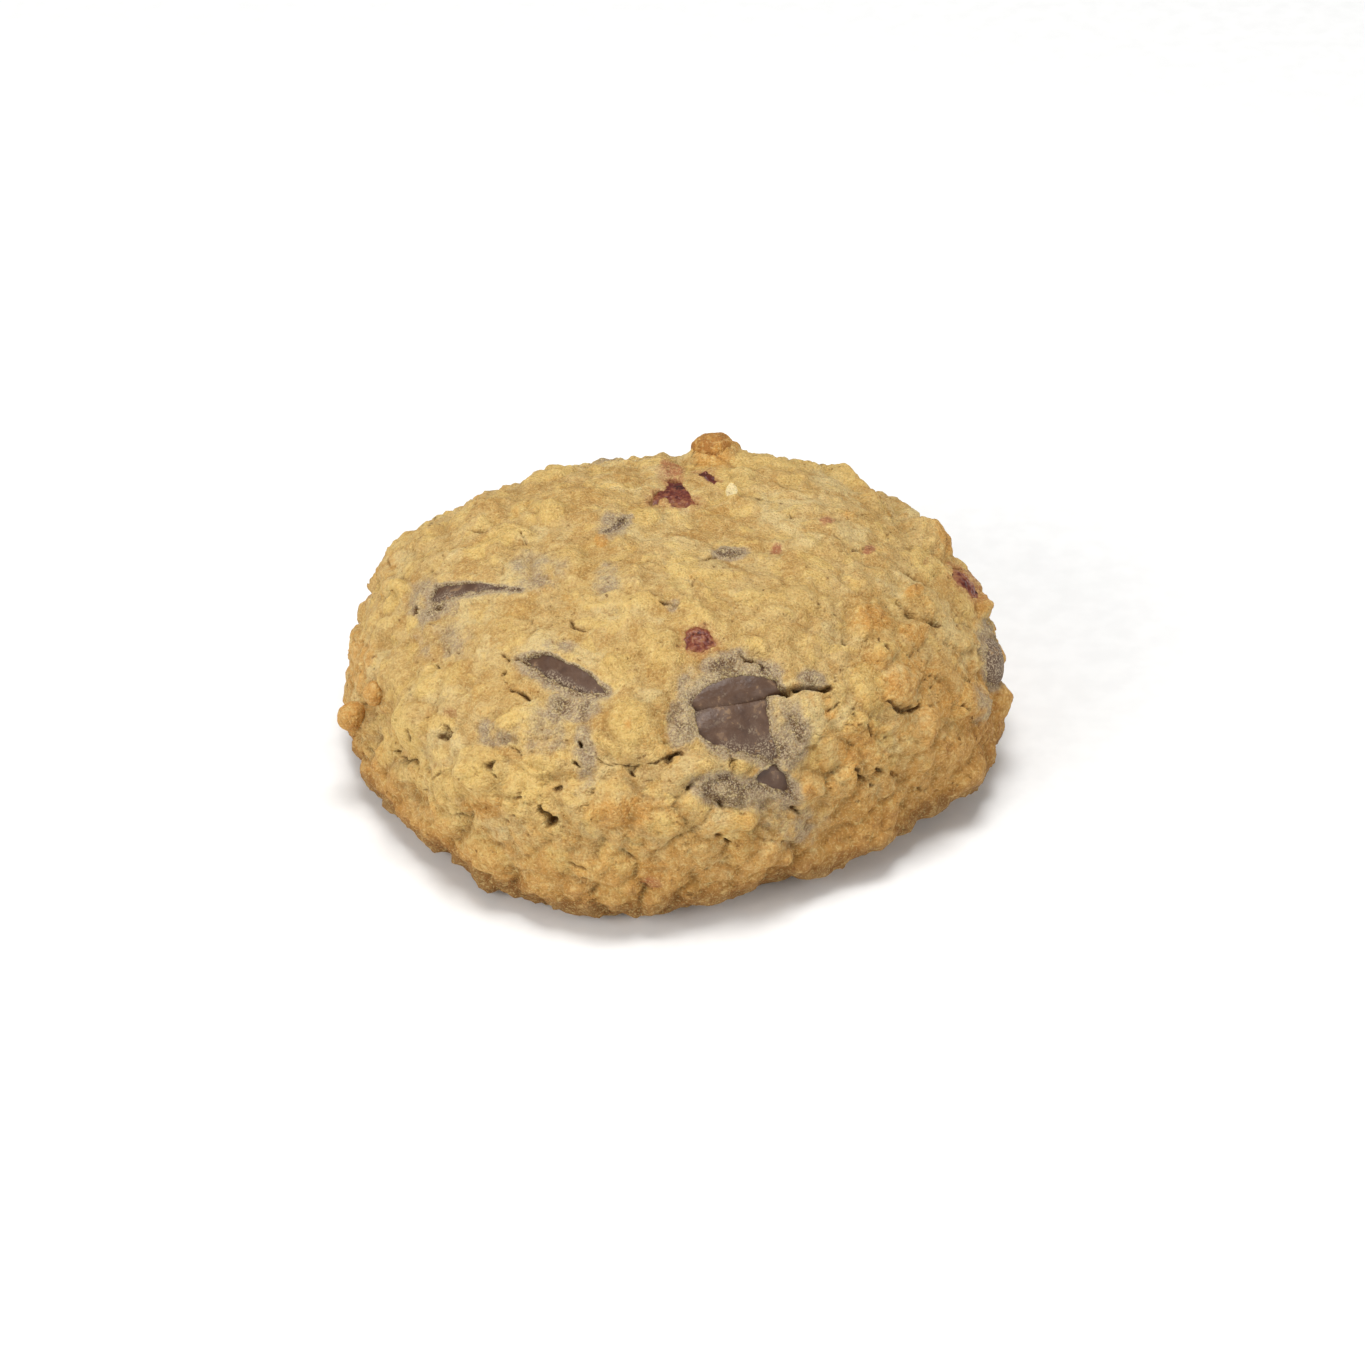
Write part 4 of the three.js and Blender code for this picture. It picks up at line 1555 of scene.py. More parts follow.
@dataclass(frozen=True)
class Baking:
    """How the oven colours the crust: most low down, partly as painted shade, on proud bits and one
    side.

    Attributes:
        hot_bearing: The side that faced the heat.
        hot_falls: Where its browning begins and is full.
        hot_shares: How brown the cool side and the hot side are.
        rim_falls: Where the rim's browning begins and is full.
        rim_share: How brown the rim is.
        base_falls: Where the base's browning and painted shade begin and are full.
        base_share: How dark the base is, as baked browning and painted shade where it faces down.
        brown_crags: From which tone on a crag is browner, and where fully.
        brown_flakes: The same for a flake.
        pale_crags: From which tone down a crag is paler, and where fully.
        pale_flakes: The same for a flake.
    """

    hot_bearing: float = -30
    hot_falls: Pair = (30, 85)
    hot_shares: Pair = (0.04, 0.55)
    rim_falls: Pair = (66, 96)
    rim_share: float = 0.8
    base_falls: Pair = (74, 104)
    base_share: float = 1.3
    brown_crags: Pair = (0.78, 0.95)
    brown_flakes: Pair = (0.75, 0.95)
    pale_crags: Pair = (0.35, 0.1)
    pale_flakes: Pair = (0.3, 0.1)

    TONE_SEED = 4242
    TONES = 600

    def tones(self, crag: Array, flake: Array) -> tuple[Array, Array]:
        """Draws a tone for each crag and each flake.

        Args:
            crag: Which crag each vertex is on, or -1.
            flake: Which flake each vertex is on, or -1.

        Returns:
            The crag's tone and the flake's tone at each vertex, from 0 to 1.
        """
        tones = Draws(self.TONE_SEED).table(2 * self.TONES, 1)[:, 0]
        crag_tone = np.where(crag >= 0, tones[crag], 0.5)
        return crag_tone, np.where(flake >= 0, tones[self.TONES + flake], 0.5)

    def browned(self, skin: Skin, spots: Array, proud: Array) -> Array:
        """Browns the crust.

        Args:
            skin: The shaped crust.
            spots: How brown its browned spots are.
            proud: How far each vertex stands out, from 0 to 1.

        Returns:
            How brown each vertex is; low down this is partly painted shade.
        """
        crag_tone, flake_tone = self.tones(skin.marks["crag"], skin.marks["flake"])
        hot_side = 0.5 + 0.5 * np.cos(skin.bearing - math.radians(self.hot_bearing))
        heated = smoothstep(skin.degrees, *self.hot_falls) * mixed(*self.hot_shares, hot_side)
        rim = self.rim_share * smoothstep(skin.degrees, *self.rim_falls) * (0.5 + 0.5 * proud)
        browned = np.maximum(spots, rim) * (1 - 0.5 * heated) + heated
        browned = browned + 0.35 * smoothstep(crag_tone, *self.brown_crags) * proud
        browned = browned + 0.25 * smoothstep(flake_tone, *self.brown_flakes)
        # Low down: baked browning of the base, and painted shade where the crust faces down
        return np.maximum(browned, self.base_share * smoothstep(skin.degrees, *self.base_falls))

    def pale(self, skin: Skin, spots: Array) -> Array:
        """Leaves some crags and flakes pale.

        Args:
            skin: The shaped crust.
            spots: How pale its pale spots are.

        Returns:
            How pale each vertex is.
        """
        crag_tone, flake_tone = self.tones(skin.marks["crag"], skin.marks["flake"])
        pale = np.maximum(spots, 0.6 * smoothstep(crag_tone, *self.pale_crags))
        return np.maximum(pale, 0.7 * smoothstep(flake_tone, *self.pale_flakes))


@dataclass
class Crust:
    """The baked dough round everything, with its crags, oats, crumbs, cracks and openings.

    A push is how far it moves points at most, its bump distance and its seed.

    Attributes:
        form: The cookie's form.
        inclusions: What shows through it.
        frequency: How finely its ball is cut.
        nodule_frequency: How finely a nodule's ball is cut.
        crowd_reach: From how far vertices are drawn towards an edge.
        crowd_least: Share of their distance that is left at the edge.
        upper_share: How evenly vertices are laid. What it lacks to 1 goes to the upper side.
        dimple_skirt: How far a dimple goes beyond its inclusion.
        dimple_floor: Share of the dimple that is flat.
        relief_reach: How far flakes, oats and folds go out or in at most.
        rim_sink: How far the side lies inside the solid's.
        calm_share: How rough the calm top is.
        rough_share: How rough the side is.
        calm_falls: Where the calm top ends and the rough side begins.
        flakes: The oat flakes on the crust.
        grains: The oats and crumbs that it breaks up into.
        folds: Bump distance and rise of its folds, from the largest down.
        fine_push: How crumbs lose their even edges.
        coarse_push: How crags lose their even edges.
        crack_push: How cracks lose their even edges.
        edge: How openings and patches wander.
        tooth: The finest relief.
        hollows: The hollows of the underside.
        ragged: How the edges of tints wander.
        blotches: How clouded dough is blotched.
        baking: How the oven colours it.
    """

    form: CookieForm
    inclusions: Sequence[Inclusion]
    frequency: int = 97
    nodule_frequency: int = 12
    crowd_reach: float = 1.5
    crowd_least: float = 0.4
    upper_share: float = 0.6
    dimple_skirt: float = 1.7
    dimple_floor: float = 0.5
    relief_reach: float = 0.85
    rim_sink: float = 0.25
    calm_share: float = 0.6
    rough_share: float = 0.86
    calm_falls: Pair = (20, 62)
    flakes: Scatter = Scatter(420, 611, (4, 118), (0.9, 2.1), (0.55, 0.95), (0.2, 0.5), 0.5)
    grains: tuple[Grains, ...] = (
        Grains("oat", 3.1, 5, 0.28, 0.14, 0.4, 0.8, 0.12, 0.35, 0.07),
        Grains("crumb", 1.35, 6, 0.14, 0.18, 0.15, 0.45, 0.09, 0.25, 0.07),
    )
    folds: tuple[Pair, ...] = ((2.9, 0.32), (1.4, 0.21), (0.75, 0.15))
    fine_push: tuple[float, float, int] = (0.16, 1.3, 13)
    coarse_push: tuple[float, float, int] = (0.85, 4.2, 3)
    crack_push: tuple[float, float, int] = (0.4, 1.1, 17)
    edge: Roughness = Roughness(0.5, 1.3, 3, 21)
    tooth: Roughness = Roughness(0.12, 1.9, 3, 31)
    hollows: Roughness = Roughness(0.35, 3.0, 3, 51)
    ragged: Roughness = Roughness(0.28, 2.4, 3, 61)
    blotches: Roughness = Roughness(1, 2.6, 3, 77)
    baking: Baking = Baking()

    # Where gaps between crumbs show, and where they are closed
    GAP_PATCHES = SoftNoise(5.0, 71)
    FOLD_SEED = 35
    PALE_RISE = 0.55
    BROWNED_RISE = 0.3
    CLOUDED_SMOOTH = 0.7
    # Low ridges: the ovals that they keep to, their waves' way in radians a mm, and their rise
    RIPPLED = ((30, 24, 17, 8, 1, 20), (330, 18, 9, 6, 0.8, 0))
    RIPPLE_WAY = (0.25, 1.75, 0.3)
    RIPPLE_RISE = 0.14
    DIMPLE_REACH = 1.3
    DIMPLE_DEPTH = 0.2
    PIECE_SKIRT = 6.0
    CRACK_SKIRT = 2.0
    CRACK_END = 0.2
    CRACK_HALF = 0.4
    CRACK_WALL = 0.16
    # An opening's edge, by the distance outside it: its wall, the lips that run out thin over the
    # piece and where they do, the crest and width of a lip, and the dough that covers the piece
    WALL = (0.06, -0.3)
    FEATHERED_LIPS = (0.16, 0.04)
    FEATHERED_RIM = (1.3, 0.1)
    FEATHERED_SHARE = 0.85
    LIP_CREST = 0.35
    LIP_WIDTH = 0.7
    SETTLED_RISE = 0.03
    COVER_RISES = (0.1, 0.3)
    COVER_RIM = (0.3, 1.2)
    RIM_FALLS = (45, 80)
    HOLLOW_DEPTH = 0.4
    UNDERSIDE_FALL = 125
    RELAXED_ROUNDS = 14

    def angles(self) -> tuple[Array, Array, Array]:
        """Lays the ball's vertices on the form, more of them on the upper side.

        Returns:
            Bearings and falls in radians, and the triangles.
        """
        ways, triangles = geodesic_ball(self.frequency)
        share = np.arccos(np.clip(ways[:, 2], -1, 1)) / math.pi
        even = self.upper_share
        fall = math.pi * (even * share + (1 - even) * share**7)
        return np.arctan2(ways[:, 1], ways[:, 0]), fall, triangles

    def crack_line(self, crack: Crack) -> Array:
        """Finds a crack's corners on the smooth form."""
        path = np.radians(crack.path)
        return self.form.smooth(path[:, 0], path[:, 1])

    def opening_line(self, row: int, places: Places) -> Array:
        """Finds an opening's corners on the plane of its inclusion.

        Args:
            row: Which inclusion.
            places: The inclusions' frames.

        Returns:
            Rows of x, y, z.
        """
        corners = np.array(self.inclusions[row].outline())
        return (
            places.at[row]
            + corners[:, :1] * places.along[row]
            + corners[:, 1:] * places.uphill[row]
        )

    def crowd(self, bearing: Array, fall: Array) -> tuple[Array, Array]:
        """Draws vertices towards cracks and openings, so that their edges come out sharp.

        Args:
            bearing: Bearings in radians.
            fall: Falls in radians.

        Returns:
            The moved bearings and falls.
        """
        places = self.form.places(self.inclusions)
        lines = [(self.opening_line(i, places), True) for i in range(len(self.inclusions))]
        lines += [(self.crack_line(crack), False) for crack in CRACKS]
        points = self.form.smooth(bearing, fall)
        far = np.full(len(points), np.inf)
        foot = np.zeros_like(points)
        for line, closed in lines:
            near = beside(points, line, self.crowd_reach + 1)
            if len(near) == 0:
                continue
            gap, place, _ = to_segments(points[near], line, closed)
            nearer = gap < far[near]
            far[near[nearer]] = gap[nearer]
            foot[near[nearer]] = place[nearer]
        caught = np.flatnonzero(far < self.crowd_reach)
        share = far[caught] / self.crowd_reach
        kept = self.crowd_least + (1 - self.crowd_least) * share**1.2
        move = (points[caught] - foot[caught]) * (kept - 1)[:, None]
        step = self.form.SLOPE_STEP
        by_bearing = self.form.smooth(bearing[caught] + step, fall[caught]) - points[caught]
        by_fall = self.form.smooth(bearing[caught], fall[caught] + step) - points[caught]
        bb, ff = (by_bearing**2).sum(axis=1), (by_fall**2).sum(axis=1)
        bf = (by_bearing * by_fall).sum(axis=1)
        mb, mf = (move * by_bearing).sum(axis=1), (move * by_fall).sum(axis=1)
        under = bb * ff - bf * bf
        bearing, fall = bearing.copy(), fall.copy()
        bearing[caught] += step * (mb * ff - mf * bf) / under
        fall[caught] += step * (mf * bb - mb * bf) / under
        return bearing, fall

    def painted(self, rows: Sequence[Any], at: Array, ragged: Array) -> Array:
        """Paints one table of ovals on the crust as soft patches."""
        return Mounds(self.form, [Spot(*row) for row in rows]).strength(at, ragged)

    def raise_crags(self, skin: Skin) -> None:
        """Builds the swells, crags and dimples of the solids.

        Args:
            skin: The crust so far.
        """
        points = skin.marks["pushed"]
        strays = Mounds(self.form, self.form.strewn(self.form.strays))
        known = Mounds(self.form, [Spot(*numbers) for numbers in self.form.known])
        height, which = strays.tallest(points, skin.height)
        places = self.form.places(self.inclusions)
        for row, piece in enumerate(self.inclusions):
            halves = [width / 2 + self.dimple_skirt for width in piece.size[:2]]
            near = np.flatnonzero(places.near(row, points, self.DIMPLE_REACH * max(halves)))
            along, uphill, out = places.local(row, points[near])
            far = np.sqrt(
                (along / halves[0]) ** 2 + (uphill / halves[1]) ** 2 + (out / halves[0]) ** 2
            )
            share = smoothstep(far, self.dimple_floor, 1)
            height[near] = mixed(-self.DIMPLE_DEPTH * piece.dimple, height[near], share)
        height, taller = known.tallest(points, height, softness=0.4)
        skin.marks["crag"] = np.where(taller >= 0, len(strays.spots) + taller, which)
        skin.marks["swell"] = self.form.swell(skin.at)
        skin.height = height + skin.marks["swell"]

    def crumble(self, skin: Skin) -> None:
        """Breaks the crust up into flakes, oats, crumbs and folds, flatter on the calm top.

        Args:
            skin: The crust so far.
        """
        pushed, marks = skin.marks["pushed"], skin.marks
        steep = mixed(self.calm_share, self.rough_share, smoothstep(skin.degrees, *self.calm_falls))
        flakes = Mounds(self.form, self.form.strewn(self.flakes))
        total, marks["flake"] = flakes.tallest(pushed, np.zeros(len(skin.at)), flatness=2.0)
        marks["gap"] = np.zeros(len(skin.at))
        patchy = smoothstep(self.GAP_PATCHES.at(skin.at), -0.25, 0.3)
        for grains in self.grains:
            rise, marks[grains.name], gap = grains.relief(pushed)
            total = total + steep * rise
            # Gaps, and the painted shade beside them, for the crease shade mask
            marks["gap"] = np.maximum(marks["gap"], gap * patchy * steep)
        for seed, (period, rise) in enumerate(self.folds, self.FOLD_SEED):
            total = total + steep * rise * np.abs(SoftNoise(period, seed).at(pushed))
        total = total + self.tooth.at(skin.at)
        for rows, rise in ((PALE, self.PALE_RISE), (BROWNED, self.BROWNED_RISE)):
            proud = self.painted(rows, pushed, 0.2 * marks["edge"])
            total = total + rise * smoothstep(proud, 0.05, 0.45)
        total = self.relief_reach * np.tanh((total - total.mean()) / self.relief_reach)
        _, clouded, _ = self.openings(skin)
        smooth = self.CLOUDED_SMOOTH * smoothstep(clouded, 0.3, 1.0)
        skin.height = skin.height + total * (1 - smooth)

    def ripple(self, skin: Skin) -> None:
        """Adds the low ridges that run level round the back and right of the top.

        Args:
            skin: The crust so far.
        """
        push = skin.marks["pushed"] - skin.at
        ripples = np.sin(skin.at @ np.array(self.RIPPLE_WAY) + 1.9 * push[:, 1])
        patches = self.painted(self.RIPPLED, skin.at, 0.35 * push[:, 0])
        skin.height += self.RIPPLE_RISE * ripples * patches

    def openings(self, skin: Skin) -> tuple[Array, Array, Array]:
        """Parts the crust over the chunks and fruit.

        Args:
            skin: The crust so far.

        Returns:
            The heights, and how close each point is to chocolate and to fruit, from 0 to 1.
        """
        places = self.form.places(self.inclusions)
        height, edge = skin.height.copy(), skin.marks["edge"]
        clouded, juicy = np.zeros(len(height)), np.zeros(len(height))
        for row, piece in enumerate(self.inclusions):
            corners = np.array(piece.outline())
            reach = np.linalg.norm(corners, axis=1).max() + self.PIECE_SKIRT
            near = np.flatnonzero(places.near(row, skin.at, reach))
            along, uphill, _ = places.local(row, skin.at[near])
            flat = np.stack([along, uphill], axis=1)
            gap, _, _ = to_segments(flat, corners, True)
            fruit = piece.filling is Filling.STRAWBERRY
            ragged = edge[near] * (1.0 if fruit else 0.6)
            # How far outside its opening each vertex is, and less than 0 inside
            signed = np.where(inside_outline(flat, corners), -gap, gap) + ragged
            swell, crack = skin.marks["swell"][near], skin.marks["crack"][near]
            floor = swell - piece.level - 0.5 * piece.size[2]
            settled = swell - piece.level + self.SETTLED_RISE
            downhill = smoothstep(uphill, 0.35 * piece.size[1], -0.35 * piece.size[1])
            lip = mixed(*piece.lips, downhill)
            thin = self.FEATHERED_SHARE * smoothstep(lip, *self.FEATHERED_LIPS)
            thin = thin * smoothstep(signed, *self.FEATHERED_RIM) * (1 - crack)
            beyond = np.maximum(signed - self.LIP_CREST, 0) / self.LIP_WIDTH
            rim = mixed(height[near] + lip * np.exp(-(beyond**2)), settled, thin)
            if piece.level > 0:
                halves = np.array(piece.size[:2]) / 2 * np.array(piece.spare)
                over = ((np.abs(flat / halves) ** 3).sum(axis=1) < 1.2) & (crack < 0.2)
                cover = settled + mixed(*self.COVER_RISES, smoothstep(signed, *self.COVER_RIM))
                rim = np.where(over, np.maximum(rim, cover), rim)
            height[near] = mixed(rim, floor, smoothstep(signed, *self.WALL))
            cloud = smoothstep(signed / mixed(*piece.cloud, downhill), 1, -0.1)
            shade = juicy if fruit else clouded
            shade[near] = np.maximum(shade[near], cloud)
        return height, clouded, juicy

    def cracked(self, skin: Skin) -> None:
        """Opens the cracks.

        Args:
            skin: The crust so far.
        """
        points, edge, gap_mark = skin.marks["ragged"], skin.marks["edge"], skin.marks["gap"]
        for crack in CRACKS:
            line = self.crack_line(crack)
            near = beside(points, line, self.CRACK_SKIRT)
            gap, _, along = to_segments(points[near], line, False)
            # It keeps its width along most of its length, and closes towards both ends
            taper = np.sqrt(np.clip(1 - (2 * along - 1) ** 4, 0, 1))
            taper = taper * (1 - self.CRACK_END) + self.CRACK_END
            half = self.CRACK_HALF * crack.gape * taper
            share = smoothstep(gap + 0.5 * edge[near], half + self.CRACK_WALL, 0.4 * half)
            skin.height[near] -= crack.depth * taper * share
            # The crack also goes to the gap mark, which paints shade in it
            gap_mark[near] = np.maximum(gap_mark[near], share)
            skin.marks["crack"][near] = np.maximum(skin.marks["crack"][near], share)

    def shape(self) -> tuple[Array, Array, dict[str, Array]]:
        """Works out the whole crust.

        Returns:
            Vertices in mm, triangles and masks.
        """
        bearing, fall, triangles = self.angles()
        bearing, fall = self.crowd(bearing, fall)
        skin = Skin(triangles, bearing, fall, self.form.frames(bearing, fall))
        fine = skin.pushed(*self.fine_push) - skin.at
        skin.marks["pushed"] = skin.pushed(*self.coarse_push) + fine
        skin.marks["ragged"] = skin.pushed(*self.crack_push)
        skin.marks["edge"] = self.edge.at(skin.at)
        skin.marks["crack"] = np.zeros(len(skin.at))
        self.raise_crags(skin)
        self.crumble(skin)
        self.ripple(skin)
        self.cracked(skin)
        skin.height -= self.rim_sink * smoothstep(skin.degrees, *self.RIM_FALLS)
        skin.height, skin.marks["clouded"], skin.marks["juicy"] = self.openings(skin)
        points = skin.at + skin.frames.out * skin.height[:, None]
        hollow = np.clip(self.hollows.at(points * [1, 1, 0]) - 0.05, 0, self.HOLLOW_DEPTH)
        hollow = hollow * (skin.degrees > self.UNDERSIDE_FALL)
        points[:, 2] = np.where(points[:, 2] < 0, hollow, points[:, 2])
        return points, triangles, self.masks(skin, points)

    def masks(self, skin: Skin, points: Array) -> dict[str, Array]:
        """Paints where the crust is browned, pale, smeared and stained, and its painted shade and
        highlight.

        Args:
            skin: The shaped crust.
            points: Its vertices in mm.

        Returns:
            The masks by name.
        """
        marks = skin.marks
        normals = vertex_normals(points, skin.triangles)
        evened = relaxed(points, skin.triangles, self.RELAXED_ROUNDS)
        # How far each vertex lies under its surroundings, in mm
        hollow = ((evened - points) * normals).sum(axis=1)
        ragged = self.ragged.at(skin.at)
        browned, pale, smeared, stained = (
            self.painted(rows, skin.at, ragged) for rows in (BROWNED, PALE, SMEARED, STAINED)
        )
        browned = self.baking.browned(skin, browned, smoothstep(-hollow, 0.04, 0.3))
        pale = self.baking.pale(skin, pale)
        blotches = smoothstep(self.blotches.at(skin.at), -0.45, 0.35)
        smeared = smeared * mixed(0.5, 1.12, blotches) * (1 - 0.4 * np.minimum(pale, 1))
        smeared = np.maximum(smeared, marks["clouded"] * mixed(0.8, 1, blotches))
        return {
            "browned": np.clip(browned * (1 - 0.7 * smeared), 0, 1.3),
            "pale": np.clip(pale * (1 - 0.6 * smeared), 0, 1.3),
            "smeared": np.clip(smeared + 0.3 * ragged * (smeared > 0.02), 0, 1),
            "stained": np.clip(np.maximum(stained, 0.6 * marks["juicy"]), 0, 1),
            # Painted shade in deep hollows, cracks and the gaps between crumbs
            "crease": np.maximum(0.5 * smoothstep(hollow, 0.1, 0.5), marks["gap"]),
            # Painted shade in hollows and painted highlight on proud bits
            "valley": smoothstep(hollow, -0.22, 0.26),
            # Painted shade: how far the crust faces down
            "under": smoothstep(-skin.frames.out[:, 2], -0.25, 0.5),
            "oat": marks["oat"],
            "crumb": marks["crumb"],
        }

    def nodules(self) -> list[tuple[Array, Array, dict[str, Array]]]:
        """Shapes the bits of oat and dough that stand clear of the crust.

        Returns:
            Vertices, triangles and masks of each.
        """
        made = []
        for bearing, fall, radii, stand, browning in NODULES:
            place = self.form.places([Spot(bearing, fall, 1, 1, 1)])
            ways, triangles = geodesic_ball(self.nodule_frequency)
            local = ways * np.array(radii)
            local *= 1 + Roughness(0.16, 1.9, 3, int(bearing)).at(local)[:, None]
            centre = place.at[0] + stand * place.out[0]
            axes = np.stack([place.along[0], place.uphill[0], place.out[0]])
            count = len(ways)
            masks = {name: np.zeros(count) for name in ("smeared", "stained", "crease")}
            masks["oat"] = masks["crumb"] = np.full(count, 0.45)
            masks["browned"] = browning + Roughness(0.5, 1.4, 2, 9).at(local)
            masks["pale"] = np.zeros(count)
            masks["valley"] = np.full(count, 0.4)
            masks["under"] = np.zeros(count)
            made.append((centre + local @ axes, triangles, masks))
        return made

    def build(self) -> bpy.types.Object:
        """Makes the crust and dresses it.

        Returns:
            The crust.
        """
        parts = [self.shape(), *self.nodules()]
        points = np.concatenate([part[0] for part in parts])
        starts = np.cumsum([0] + [len(part[0]) for part in parts[:-1]])
        triangles = np.concatenate([part[1] + start for part, start in zip(parts, starts)])
        masks = {
            name: np.concatenate([part[2][name] for part in parts]) for name in parts[0][2]
        }
        piece = make_mesh("cookie_crust", points, triangles, masks)
        piece.data.materials.append(BakedOatDough().material())
        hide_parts("cookie_dough")
        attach(piece, "root")
        return piece


@dataclass
class BakedInPiece:
    """A chocolate chunk or strawberry piece in its pocket.

    Attributes:
        form: The cookie's form.
        inclusion: What it is and where.
        frequency: How finely its ball is cut.
    """

    form: CookieForm
    inclusion: Inclusion
    frequency: int = 26

    # The superellipse's power, its dents' depth and length, and from where to where its edge is
    # covered with dough, and how much
    POWERS = {Filling.CHOCOLATE: 3.4, Filling.STRAWBERRY: 2.2}
    DENTS = {Filling.CHOCOLATE: (0.05, 1.3), Filling.STRAWBERRY: (0.11, 0.9)}
    COVERED_EDGES = {Filling.CHOCOLATE: (0.8, 1.0, 0.1), Filling.STRAWBERRY: (0.45, 0.9, 0.5)}

    def lump(self) -> tuple[Array, Array, Array]:
        """Shapes the piece about its own middle.

        Returns:
            Vertices, triangles and the film mask.
        """
        piece = self.inclusion
        power = self.POWERS[piece.filling]
        dent, dent_length = self.DENTS[piece.filling]
        ways, triangles = geodesic_ball(self.frequency)
        reach = (np.abs(ways) ** power).sum(axis=1) ** (-1 / power)
        half = np.array(piece.size) / 2 * np.array([*piece.spare, 1.0])
        points = ways * reach[:, None] * half
        x, y, z = (points / dent_length).T
        dents = np.sin(x + 1) * np.sin(y + 2) * np.cos(z)
        points = points * (1 + dent * dents)[:, None]
        seed = int(piece.bearing)
        if piece.filling is Filling.CHOCOLATE:
            coarse = Roughness(0.14, 3.2, 2, seed).at(points)
            fine = Roughness(0.03, 0.8, 2, seed + 5).at(points)
        else:
            coarse = 0.3 * np.abs(SoftNoise(1.1, seed).at(points))
            fine = Roughness(0.12, 0.6, 2, seed + 5).at(points)
        points[:, 2] += coarse + fine
        share = smoothstep(points[:, 1] / half[1], -0.65, 0.15)
        film = mixed(piece.film[1], piece.film[0], share)
        edge = np.sqrt((points[:, 0] / half[0]) ** 2 + (points[:, 1] / half[1]) ** 2)
        low, high, cover = self.COVERED_EDGES[piece.filling]
        film = film + cover * smoothstep(edge, low, high)
        film = film + Roughness(0.25, 1.6, 2, seed + 9).at(points)
        return points, triangles, np.clip(film, 0, 1)

    def build(self, material: bpy.types.Material) -> bpy.types.Object:
        """Makes the piece in its place and dresses it.

        Args:
            material: Its finish.

        Returns:
            The piece.
        """
        piece = self.inclusion
        points, triangles, film = self.lump()
        lean = math.radians(piece.lean)
        tipped = points.copy()
        tipped[:, 1] = points[:, 1] * math.cos(lean) - points[:, 2] * math.sin(lean)
        tipped[:, 2] = points[:, 1] * math.sin(lean) + points[:, 2] * math.cos(lean)
        place = self.form.places([piece])
        axes = np.stack([place.along[0], place.uphill[0], place.out[0]])
        tipped[:, 2] += bowl_terms(tipped[:, 0], tipped[:, 1]) @ self.form.bow(place, piece)
        middle = place.at[0] - place.out[0] * (piece.level + piece.size[2] / 2)
        made = make_mesh(piece.piece, middle + tipped @ axes, triangles, {"film": film})
        made.data.materials.append(material)
        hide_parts(piece.node)
        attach(made, "root")
        return made


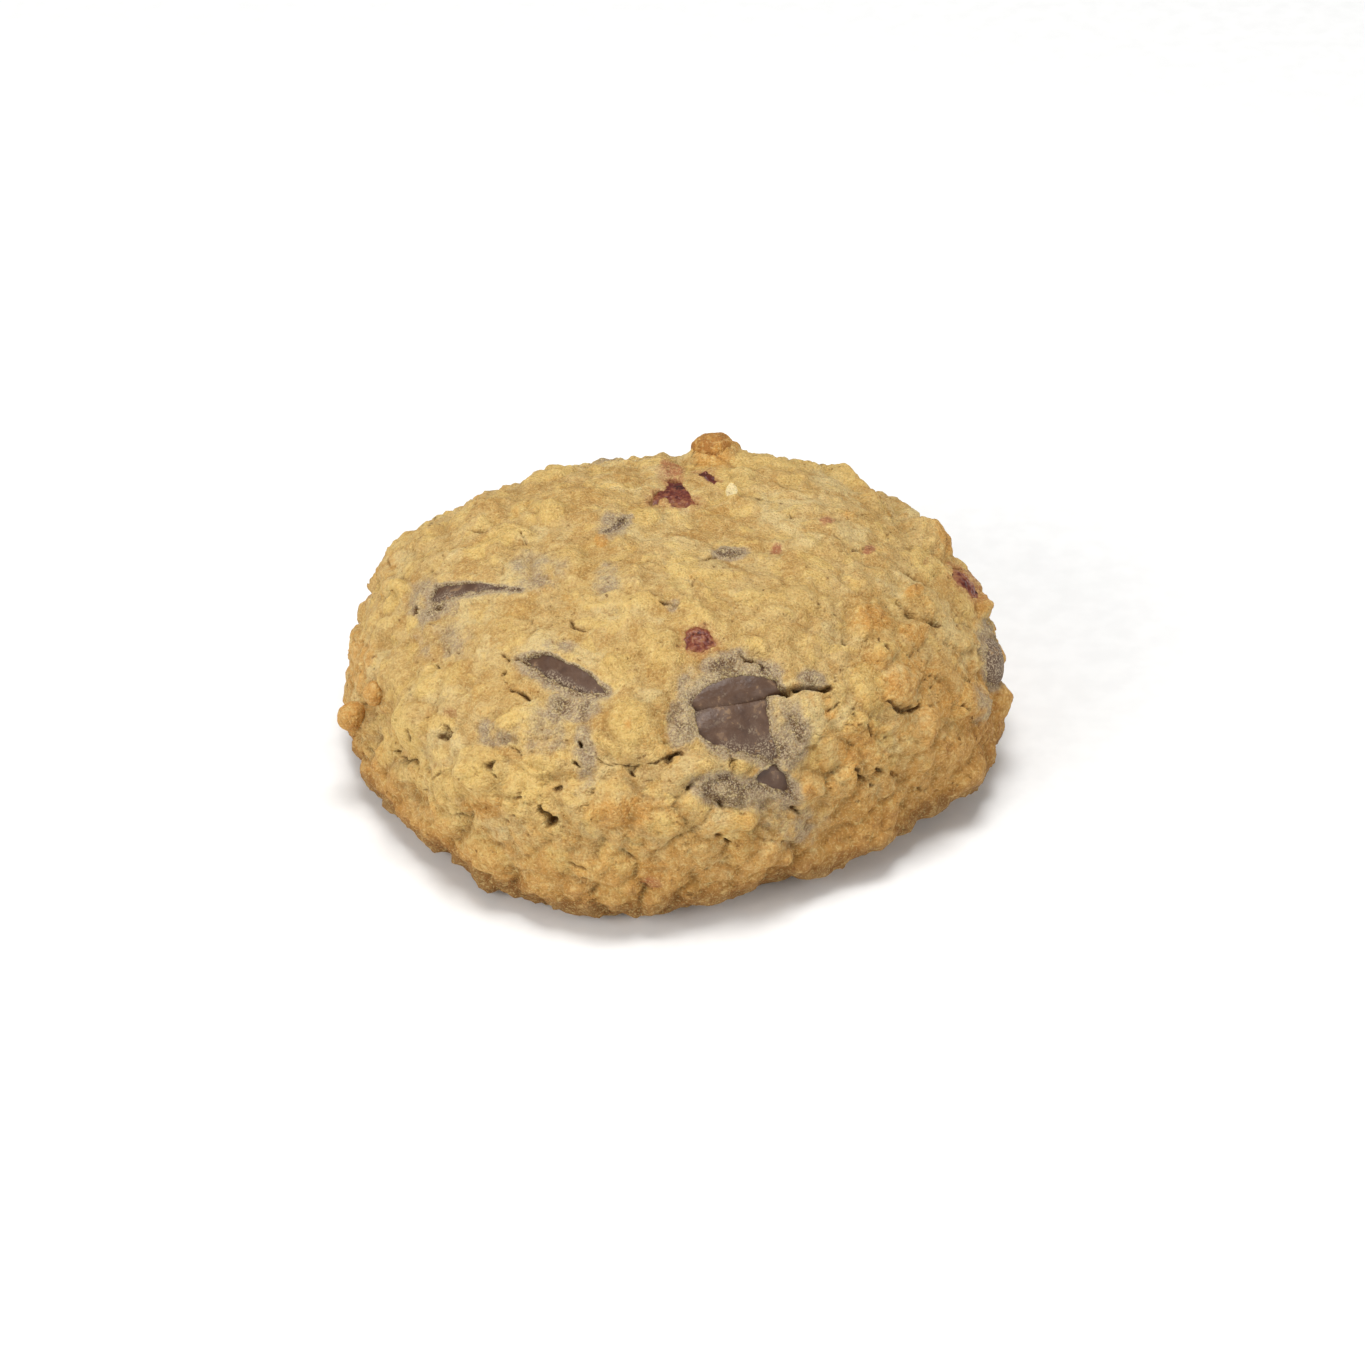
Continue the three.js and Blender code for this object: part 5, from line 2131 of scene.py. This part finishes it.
@dataclass
class Studio:
    """The pale floor, the soft lights and the camera.

    Attributes:
        target: What the camera looks at.
        elevation: How far the camera looks down.
        distance: From the camera to the target.
        lens: Focal length on a sensor 36 mm wide.
        floor_side: How wide the floor is.
        boxes: Each soft box's name, place, width and power in watts.
        world_strength: How bright the room is.
    """

    target: tuple[float, float, float] = (0.793, 1.41, 8.976)
    elevation: float = 36.0
    distance: float = 480.0
    lens: float = 112.4
    floor_side: float = 6000.0
    boxes: tuple = (
        ("overhead_soft_box", (0.0, 0.0, 760.0), 320.0, 4.05),
        ("left_soft_box", (-540.0, -400.0, 330.0), 400.0, 3.05),
        ("right_soft_box", (540.0, -400.0, 330.0), 400.0, 1.3),
    )
    world_strength: float = 0.31

    def floor(self) -> bpy.types.Object:
        """Makes the paper floor.

        Returns:
            The floor.
        """
        cells = 8
        edge = np.linspace(-self.floor_side / 2, self.floor_side / 2, cells + 1)
        points = np.array([(x, y, 0) for y in edge for x in edge])
        corners = []
        for i, j in product(range(cells), repeat=2):
            low = j * (cells + 1) + i
            high = low + cells + 1
            corners += [(low, low + 1, high + 1), (low, high + 1, high)]
        sheet = make_mesh("backdrop", points, np.array(corners), {})
        sheet.data.materials.append(BackdropPaper().material())
        return sheet

    def area_light(
        self, name: str, place: Sequence[float], side: float, power: float
    ) -> bpy.types.Object:
        """Hangs a square soft box that faces the cookie.

        Args:
            name: The light's name.
            place: Where it hangs.
            side: How wide it is.
            power: Its power in watts.

        Returns:
            The light.
        """
        lamp = bpy.data.lights.new(name, "AREA")
        lamp.shape = "SQUARE"
        lamp.size = side * MM
        lamp.energy = power
        made = bpy.data.objects.new(name, lamp)
        made.location = Vector(place) * MM
        way = Vector(self.target) * MM - made.location
        made.rotation_euler = way.to_track_quat("-Z", "Y").to_euler()
        bpy.context.scene.collection.objects.link(made)
        return made

    def lights(self) -> None:
        """Hangs the soft boxes and fills the room with pale light."""
        for name, place, side, power in self.boxes:
            self.area_light(name, place, side, power)
        world = bpy.data.worlds.new("white_room")
        bpy.context.scene.world = world
        world.use_nodes = True
        tree = world.node_tree
        tree.nodes.clear()
        room = {"Color": (1.0, 1.0, 1.0, 1.0), "Strength": self.world_strength}
        add_node(tree, "OutputWorld", {"Surface": add_node(tree, "Background", room)})

    def camera(self) -> bpy.types.Object:
        """Sets up the camera at the photograph's angle.

        Returns:
            The camera.
        """
        lens = bpy.data.cameras.new("camera")
        lens.lens = self.lens
        lens.sensor_width = 36.0
        lens.clip_start = 0.01
        made = bpy.data.objects.new("camera", lens)
        slope = math.radians(self.elevation)
        back = Vector((0, -math.cos(slope), math.sin(slope)))
        made.location = (Vector(self.target) + back * self.distance) * MM
        made.rotation_euler = (-back).to_track_quat("-Z", "Y").to_euler()
        bpy.context.scene.collection.objects.link(made)
        bpy.context.scene.camera = made
        return made

    def build(self) -> None:
        """Sets up the whole studio."""
        self.floor()
        self.lights()
        self.camera()
        bpy.context.scene.view_settings.view_transform = "Standard"


def report(pieces: Iterable[bpy.types.Object]) -> None:
    """Logs each piece's name and facets."""
    for piece in pieces:
        LOG.info("%s: %d triangles", piece.name, len(piece.data.polygons))


def main() -> None:
    """Builds the dressed cookie and its studio."""
    logging.basicConfig(level=logging.INFO, format="%(name)s: %(message)s")
    form = CookieForm()
    pieces = [Crust(form, INCLUSIONS).build()]
    finishes = {
        Filling.CHOCOLATE: SetChocolate().material(),
        Filling.STRAWBERRY: BakedStrawberry().material(),
    }
    for inclusion in INCLUSIONS:
        pieces.append(BakedInPiece(form, inclusion).build(finishes[inclusion.filling]))
    report(pieces)
    Studio().build()


if __name__ == "__main__":
    main()
